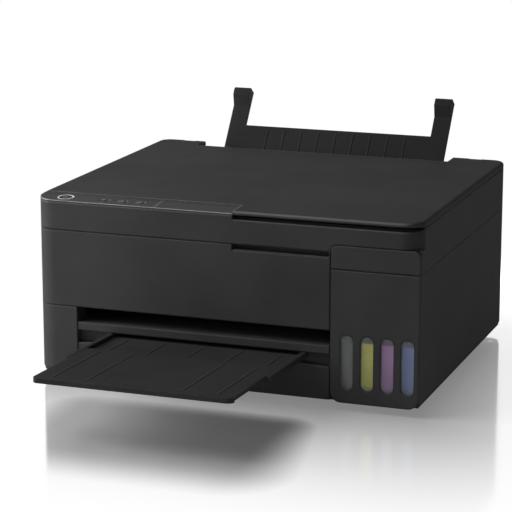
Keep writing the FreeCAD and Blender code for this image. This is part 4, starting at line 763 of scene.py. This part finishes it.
def print_mark(name: str, body: str, strokes: Sequence[Stroke], lay: Lay, proud: float,
               finish: bpy.types.Material) -> None:
    """Build a mark from printed lines, each a thin closed strip, and seat it on its body.

    Args:
        name: The piece's name.
        body: The body that carries it.
        strokes: Its lines.
        lay: Gives the place in metres of a flat point in millimetres, on the strip's top.
        proud: How far the strip stands out of the surface and reaches into it, in millimetres.
        finish: Its material.
    """
    shape = bmesh.new()
    for stroke in strokes:
        rings = []
        for left, right in stroke.sides():
            top = [lay(*left), lay(*right)]
            low = [spot - Vector((0.0, 0.0, 2 * proud * MM)) for spot in (top[1], top[0])]
            rings.append([shape.verts.new(spot) for spot in top + low])
        turns = len(rings) if stroke.closed else len(rings) - 1
        for i in range(turns):
            here, there = rings[i], rings[(i + 1) % len(rings)]
            for k in range(4):
                shape.faces.new((here[k], here[(k + 1) % 4], there[(k + 1) % 4], there[k]))
        if not stroke.closed:
            shape.faces.new(rings[0])
            shape.faces.new(rings[-1])
    bmesh.ops.recalc_face_normals(shape, faces=shape.faces)
    mesh = bpy.data.meshes.new(name)
    shape.to_mesh(mesh)
    shape.free()
    mesh.materials.append(finish)
    seat(add_object(name, mesh), body)


# Sub-assemblies


class Workshop(Wardrobe):
    """The wardrobe together with the shape trees that the sub-assemblies share."""

    def __init__(self) -> None:
        """Make the trees."""
        super().__init__()
        self.in_row, self.in_ring, self.on_spots = (RibTree(layout) for layout in Layout)
        self.scatter = ScatterTree()


@dataclass
class Assembly(ABC):
    """A sub-assembly that is made in the workshop, with its sizes in millimetres."""

    shop: Workshop

    @abstractmethod
    def build(self) -> None:
        """Build, dress and seat every piece."""


class KeySign(Enum):
    """Plain signs for the keys, each as (points, closed) lines in millimetres from the key's middle."""

    POWER = (
        (arc((0.0, 0.0), 2.1, 125.0, 415.0, 24), False),
        (((0.0, 0.5), (0.0, 2.6)), False),
    )
    NETWORK = (
        (arc((0.0, -1.6), 3.6, 45.0, 135.0, 12), False),
        (arc((0.0, -1.6), 2.2, 45.0, 135.0, 10), False),
        (arc((0.0, -1.6), 0.55, 0.0, 360.0, 12), True),
    )
    COPY = (
        (((-2.6, -1.2), (0.6, -1.2), (0.6, 2.0), (-2.6, 2.0)), True),
        (((-0.8, -1.2), (-0.8, -2.4), (2.4, -2.4), (2.4, 0.8), (0.6, 0.8)), False),
    )
    STOP = (
        (arc((0.0, 0.0), 2.5, 0.0, 360.0, 28), True),
        (((-1.0, -0.8), (1.0, -0.8), (0.0, 1.1)), True),
    )


@dataclass
class ControlStrip(Assembly):
    """The sloped strip in front of the lid with its four keys."""

    depth: float = 25.5
    front_z: float = 175.7
    rise: float = 1.7
    key_proud: float = 0.3
    key_y: float = 11.5
    power_x: float = -160.0
    first_key_x: float = -122.0
    key_pitch: float = 18.0
    ring_radius: float = 7.1
    ring_width: float = 0.95
    divider_x: float = -67.0
    divider_inset: float = 1.4
    line: float = 0.42
    mark: float = 0.03

    def height(self, y: float) -> float:
        """Give the strip's height at a depth, in millimetres."""
        return self.front_z + self.rise * y / self.depth

    def on_key(self, x: float) -> Lay:
        """Give the lay of flat points round the middle of the key at x."""
        def lay(across: float, up: float) -> Vector:
            """Place one flat point on the key's top."""
            y = self.key_y + up
            return Vector(from_front(x + across, y, self.height(y) + self.key_proud + self.mark))
        return lay

    def build_keys(self) -> None:
        """Print the signs and the bright ring on the keys."""
        places = {KeySign.POWER: self.power_x}
        for i, sign in enumerate((KeySign.NETWORK, KeySign.COPY, KeySign.STOP)):
            places[sign] = self.first_key_x + i * self.key_pitch
        for sign, x in places.items():
            body = sign.name.lower() + "_button"
            strokes = [Stroke(points, self.line, closed) for points, closed in sign.value]
            print_mark(body + "_sign", body, strokes, self.on_key(x), self.mark, self.shop.take("mark_grey"))
        ring = Stroke(arc((0.0, 0.0), self.ring_radius, 0.0, 360.0, 64), self.ring_width, True)
        print_mark("power_ring", "power_button", [ring], self.on_key(self.power_x), self.mark,
                   self.shop.take("mark_white"))

    def build_divider(self) -> None:
        """Draw the fine line that parts the keys from the plain end of the strip."""
        def lay(x: float, y: float) -> Vector:
            """Place one flat point on the strip."""
            return Vector(from_front(x, y, self.height(y) + self.mark))
        ends = (self.divider_inset, self.depth - self.divider_inset)
        line = Stroke(tuple((self.divider_x, y) for y in ends), self.line)
        print_mark("strip_divider", "scanner_unit", [line], lay, self.mark, self.shop.take("mark_grey"))

    def build(self) -> None:
        """Build everything on the strip."""
        self.build_keys()
        self.build_divider()


@dataclass
class ScannerBed(Assembly):
    """The frame round the scanner glass with its paper scales and corner arrow."""

    glass_left: float = -163.0
    glass_right: float = 147.0
    glass_front: float = 36.0
    glass_rear: float = 264.0
    top: float = 171.6
    gap: float = 2.2
    tick: float = 4.0
    line: float = 0.5
    pitch: float = 10.0
    mark: float = 0.05
    arrow: float = 7.0
    barb: float = 4.2
    arrow_line: float = 1.2

    def build_scales(self) -> None:
        """Set out the scales along the glass's left and rear edge."""
        off = self.gap + self.tick / 2
        thin = 2 * self.mark
        scales = {
            "side_scale": (self.glass_rear - self.glass_front,
                           (self.glass_left - off, self.glass_rear - self.pitch), (0.0, -self.pitch),
                           (0.0, math.pi / 2, 0.0), (thin, self.line, self.tick)),
            "rear_scale": (self.glass_right - self.glass_left,
                           (self.glass_left + self.pitch, self.glass_rear + off), (self.pitch, 0.0),
                           (math.pi / 2, 0.0, 0.0), (self.line, thin, self.tick)),
        }
        for name, (reach, start, step, turn, size) in scales.items():
            piece = self.shop.in_row.grow(name, {
                "Count": int(reach / self.pitch), "Rungs": 5, "Start": from_front(*start, self.top),
                "Step": in_metres(*step, 0.0), "Turn": turn, "Size": in_metres(*size),
                "Finish": self.shop.take("mark_white")})
            seat(piece, "scanner_unit")

    def build_arrow(self) -> None:
        """Print the arrow that shows the corner where a sheet goes."""
        def lay(x: float, y: float) -> Vector:
            """Place one flat point on the frame."""
            return Vector(from_front(x, y, self.top + self.mark))
        x, y = self.glass_left - self.gap, self.glass_rear + self.gap
        shaft = ((x - self.arrow, y + self.arrow), (x, y))
        head = ((x - self.barb, y + 0.6), (x - 0.4, y + 0.4), (x - 0.6, y + self.barb))
        strokes = [Stroke(points, self.arrow_line) for points in (shaft, head)]
        print_mark("corner_arrow", "scanner_unit", strokes, lay, self.mark, self.shop.take("mark_white"))

    def build(self) -> None:
        """Build the two scales and the arrow."""
        self.build_scales()
        self.build_arrow()


@dataclass
class SheetFeeder(Assembly):
    """Low paper ribs on the leaning back plate and on the support that slides behind it.

    Places along the lean are counted up from the point where the sheet's plane passes the lean's own Y and Z.
    """

    lean: float = 36.0
    lean_y: float = 341.0
    lean_z: float = 178.0
    middle_x: float = -3.0
    plate_front: float = 2.9
    plate_ends: Point = (-118.0, -24.0)
    plate_count: int = 13
    support_ends: Point = (-10.0, 15.0)
    support_count: int = 9
    pitch: float = 19.0
    width: float = 2.2
    proud: float = 0.16

    def row(self, name: str, body: str, ends: Point, forward: float, count: int) -> None:
        """Build one row of ribs on a face that leans back.

        Args:
            name: The piece's name.
            body: The body that carries it.
            ends: The ribs' lower and upper end along the lean.
            forward: How far the face lies in front of the sheet's plane.
            count: The number of ribs.
        """
        slant = math.radians(self.lean)
        along = (ends[0] + ends[1]) / 2
        y = self.lean_y + along * math.sin(slant) - forward * math.cos(slant)
        z = self.lean_z + along * math.cos(slant) + forward * math.sin(slant)
        first_x = self.middle_x - self.pitch * (count - 1) / 2
        piece = self.shop.in_row.grow(name, {
            "Count": count, "Rungs": 17, "Start": from_front(first_x, y, z),
            "Step": in_metres(self.pitch, 0.0, 0.0), "Turn": (-slant, 0.0, 0.0),
            "Size": in_metres(self.width, 2 * self.proud, ends[1] - ends[0]),
            "Finish": self.shop.take("inner_black")})
        seat(piece, body)

    def build(self) -> None:
        """Build both rows."""
        self.row("feeder_ribs", "chassis", self.plate_ends, self.plate_front, self.plate_count)
        self.row("support_ribs", "paper_support", self.support_ends, 0.0, self.support_count)


@dataclass
class PaperTray(Assembly):
    """Low ribs in the output tray's channel and on its extension."""

    slope: float = 2.4
    top_z: float = 51.7
    middle_x: float = -16.0
    width: float = 2.4
    proud: float = 0.2
    tray_places: tuple[float, ...] = (-76.0, -38.0, 0.0, 38.0, 76.0)
    tray_ends: Point = (-57.0, -4.0)
    tray_drop: float = 3.4
    extension_places: tuple[float, ...] = (-76.0, -44.0, 44.0, 76.0)
    extension_ends: Point = (-168.0, -70.0)
    extension_drop: float = 0.1

    def rows(self, name: str, body: str, places: Sequence[float], ends: Point, drop: float) -> None:
        """Build ribs that run out of the printer.

        Args:
            name: The piece's name.
            body: The body that carries it.
            places: Each rib's place across, from the tray's middle.
            ends: The ribs' outer and inner end along Y.
            drop: How far the surface lies below the tray's top.
        """
        tilt = math.radians(self.slope)
        middle = (ends[0] + ends[1]) / 2
        z = self.top_z - middle * math.tan(tilt) - drop / math.cos(tilt)
        piece = self.shop.on_spots.grow(name, {
            "Rungs": 17, "Turn": (math.pi / 2 - tilt, 0.0, 0.0),
            "Size": in_metres(self.width, 2 * self.proud, (ends[1] - ends[0]) / math.cos(tilt)),
            "Finish": self.shop.take("inner_black"),
        }, [from_front(self.middle_x + place, middle, z) for place in places])
        seat(piece, body)

    def build(self) -> None:
        """Build the ribs of both stages."""
        self.rows("tray_ribs", "output_tray", self.tray_places, self.tray_ends, self.tray_drop)
        self.rows("extension_ribs", "tray_extension", self.extension_places, self.extension_ends,
                  self.extension_drop)


@dataclass
class InkStation(Assembly):
    """Grip ribs round the four filler caps of the ink tanks."""

    first_x: float = 119.9
    pitch: float = 19.0
    y: float = 39.4
    radius: float = 7.42
    middle_z: float = 122.2
    length: float = 5.6
    rib: float = 0.6
    count: int = 28

    def build(self) -> None:
        """Build one ring of ribs for each cap."""
        for i, colour in enumerate(("black", "yellow", "magenta", "cyan")):
            piece = self.shop.in_ring.grow(f"cap_grip_{colour}", {
                "Count": self.count, "Rungs": 5, "Radius": self.radius * MM,
                "Start": from_front(self.first_x + i * self.pitch, self.y, self.middle_z),
                "Turn": (0.0, 0.0, 0.0), "Size": in_metres(self.rib, self.rib, self.length),
                "Finish": self.shop.take("cap_" + colour)})
            seat(piece, "tank_cap_" + colour)


@dataclass
class CarriageDrive(Assembly):
    """Teeth on the inner side of the toothed belt's two straight runs."""

    reach: float = 148.0
    pitch: float = 2.0
    y: float = 208.0
    middle_z: float = 104.0
    inner_radius: float = 8.15
    tooth: float = 1.0
    proud: float = 0.3
    length: float = 3.6

    def build(self) -> None:
        """Build the teeth of both runs."""
        count = int(2 * self.reach / self.pitch) + 1
        runs = (self.middle_z - self.inner_radius, self.middle_z + self.inner_radius)
        spots = [from_front(-self.reach + i * self.pitch, self.y, z) for z in runs for i in range(count)]
        piece = self.shop.on_spots.grow("belt_teeth", {
            "Rungs": 3, "Turn": (math.pi / 2, 0.0, 0.0),
            "Size": in_metres(self.tooth, 2 * self.proud, self.length),
            "Finish": self.shop.take("rubber_dark")}, spots)
        seat(piece, "chassis")


@dataclass
class LogicBoard(Assembly):
    """Chips and small parts on the outer face of the main board."""

    face_x: float = 174.6
    middle_y: float = 256.2
    middle_z: float = 71.0
    width: float = 106.0
    height: float = 70.0
    lift: float = 0.4

    def build(self) -> None:
        """Build the chips, then the smaller parts between them."""
        rows = {
            "board_chips": ((8.0, 8.0, 1.2), (15.0, 15.0, 1.8), 26.0, 4, "mark_dark", "inner_black"),
            "board_parts": ((0.8, 1.4, 0.6), (1.8, 3.0, 1.4), 4.5, 9, "mark_grey", "station_grey"),
        }
        for name, (least, most, gap, seed, finish, slot) in rows.items():
            piece = self.shop.scatter.grow(name, {
                "Width": self.width * MM, "Height": self.height * MM, "Gap": gap * MM, "Seed": seed,
                "Middle": from_front(self.face_x + self.lift, self.middle_y, self.middle_z),
                "Least": in_metres(*least), "Most": in_metres(*most), "Finish": self.shop.take(finish)})
            seat(piece, "chassis")


@dataclass
class BaseFasteners(Assembly):
    """Flat dark crosses of painted shade that stand for the cross recesses in the heads of the six case
    screws.
    """

    x: float = 181.1
    depths: Triple = (112.0, 197.0, 300.5)
    head_z: float = 7.0
    bar: float = 0.7
    length: float = 3.4
    mark: float = 0.05

    def build(self) -> None:
        """Build the two bars of every cross."""
        spots = [from_front(side * self.x, y, self.head_z) for side in (-1, 1) for y in self.depths]
        # Each cross is painted shade in place of a recess.
        for name, angle in (("screw_slots_first", math.pi / 4), ("screw_slots_second", -math.pi / 4)):
            piece = self.shop.on_spots.grow(name, {
                "Rungs": 5, "Turn": (math.pi / 2, 0.0, angle),
                "Size": in_metres(self.bar, 2 * self.mark, self.length),
                "Finish": self.shop.take("mark_dark")}, spots)
            seat(piece, "chassis")


# Studio


@dataclass(frozen=True)
class Lamp:
    """One soft rectangular lamp, with its lengths in metres and its power in watts."""

    name: str
    place: Triple
    target: Triple
    size: Point
    power: float

    def hang(self) -> None:
        """Hang the lamp and turn it to its target."""
        lamp = bpy.data.lights.new(self.name, "AREA")
        lamp.shape = "RECTANGLE"
        lamp.size, lamp.size_y = self.size
        lamp.energy = self.power
        holder = add_object(self.name, lamp)
        holder.visible_camera = False
        holder.location = self.place
        ahead = Vector(self.target) - Vector(self.place)
        holder.rotation_euler = ahead.to_track_quat("-Z", "Y").to_euler()


@dataclass
class Studio:
    """White floor, soft lamps, sky and the camera.

    Lengths are in metres and angles in degrees, but the camera's place and sensor are in millimetres.
    """

    floor_reach: float = 9.0
    mirror: float = 0.6
    mirror_reach: float = 0.45
    base_start: float = 0.12
    tray_share: float = 5.0
    glow: float = 0.04
    sky: float = 0.15
    camera_place: Triple = (671.84, -1772.11, 585.46)
    camera_yaw: float = 19.814
    camera_pitch: float = 13.36
    camera_lens: float = 150.4
    sensor: float = 36.0
    lamps: tuple[Lamp, ...] = (
        Lamp("key_lamp", (-0.85, -0.6, 1.15), (0.0, 0.0, 0.1), (0.8, 0.8), 10.5),
        Lamp("front_strip", (-0.85, -0.65, 0.35), (-0.15, -0.1, 0.1), (0.3, 0.6), 1.8),
        Lamp("left_strip", (-0.95, -0.32, 0.32), (-0.19, -0.1, 0.1), (0.25, 0.7), 10.8),
        Lamp("right_fill", (0.55, -0.9, 0.25), (0.15, -0.1, 0.1), (0.4, 0.4), 0.51),
        Lamp("rear_strip", (0.0, 1.1, 0.11), (0.0, 0.3, 0.1), (0.34, 0.12), 2.4),
    )

    def away_from(self, paint: Paint, node: str) -> Signal:
        """Give the distance along the floor from the box of a CAD node.

        Args:
            paint: The floor's material.
            node: The node's name.

        Returns:
            The distance, in metres.
        """
        low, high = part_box(node)
        middle, half = (low + high) / 2, (high - low) / 2
        offset = paint.vector("ABSOLUTE", paint.vector("SUBTRACT", paint.place(), tuple(middle)))
        beyond = paint.vector("MAXIMUM", paint.vector("SUBTRACT", offset, tuple(half)))
        flat = paint.vector("MULTIPLY", beyond, (1.0, 1.0, 0.0))
        return paint.vector("LENGTH", flat, output="Value")

    def build_floor(self) -> None:
        """Lay the floor, a soft mirror round the object and pure white to look at further off."""
        paint = Paint("studio_floor")
        reach = (self.away_from(paint, "base_pan") + self.base_start).least(
            self.away_from(paint, "tray_extension") * self.tray_share)
        haze = paint.noise(paint.place(), 0.25, 2.0)
        near = paint.node("ShaderNodeBsdfPrincipled", {}, {
            "Base Color": tint("#fdfdfd"), "Roughness": 0.07 + haze * 0.04,
            "Metallic": paint.seen() * self.mirror, "Emission Color": WHITE, "Emission Strength": self.glow})
        far = paint.node("ShaderNodeEmission", {}, {"Color": WHITE, "Strength": 1.0})
        mixed = paint.node("ShaderNodeMixShader", {},
                           {0: reach.rise(0.0, self.mirror_reach) * paint.seen(), 1: near, 2: far})
        paint.make_node("ShaderNodeOutputMaterial", {}, {"Surface": mixed})
        mesh = bpy.data.meshes.new("floor")
        r = self.floor_reach
        mesh.from_pydata([(-r, -r, 0.0), (r, -r, 0.0), (r, r, 0.0), (-r, r, 0.0)], [], [(0, 1, 2, 3)])
        mesh.materials.append(paint.material)
        floor = add_object("floor", mesh)

    def build_sky(self) -> None:
        """Make the sky white to look at and softer as a light."""
        world = bpy.data.worlds.new("studio_sky")
        bpy.context.scene.world = world
        world.use_nodes = True
        graph = Graph(world.node_tree)
        light = graph.node("ShaderNodeBackground", {}, {
            "Color": WHITE, "Strength": self.sky + graph.seen() * (1.0 - self.sky)})
        graph.make_node("ShaderNodeOutputWorld", {}, {"Surface": light})

    def build_camera(self) -> None:
        """Set up the camera at the photograph's view."""
        yaw, pitch = math.radians(self.camera_yaw), math.radians(self.camera_pitch)
        ahead = Vector((-math.sin(yaw) * math.cos(pitch), math.cos(yaw) * math.cos(pitch), -math.sin(pitch)))
        data = bpy.data.cameras.new("camera")
        data.lens = self.camera_lens
        data.sensor_width = self.sensor
        data.clip_end = 50.0
        camera = add_object("camera", data)
        camera.location = from_front(*self.camera_place)
        camera.rotation_euler = ahead.to_track_quat("-Z", "Y").to_euler()
        bpy.context.scene.camera = camera

    def build(self) -> None:
        """Build the whole studio and set the plain view transform."""
        bpy.context.scene.view_settings.view_transform = "Standard"
        self.build_camera()
        self.build_floor()
        self.build_sky()
        for lamp in self.lamps:
            lamp.hang()


def main() -> None:
    """Build the studio, dress the frame and add each sub-assembly's details."""
    logging.basicConfig(level=logging.INFO, format="%(message)s")
    Studio().build()
    shop = Workshop()
    shop.dress_frame()
    for kind in (ControlStrip, ScannerBed, SheetFeeder, PaperTray, InkStation, CarriageDrive, BaseFasteners,
                 LogicBoard):
        kind(shop).build()


if __name__ == "__main__":
    main()
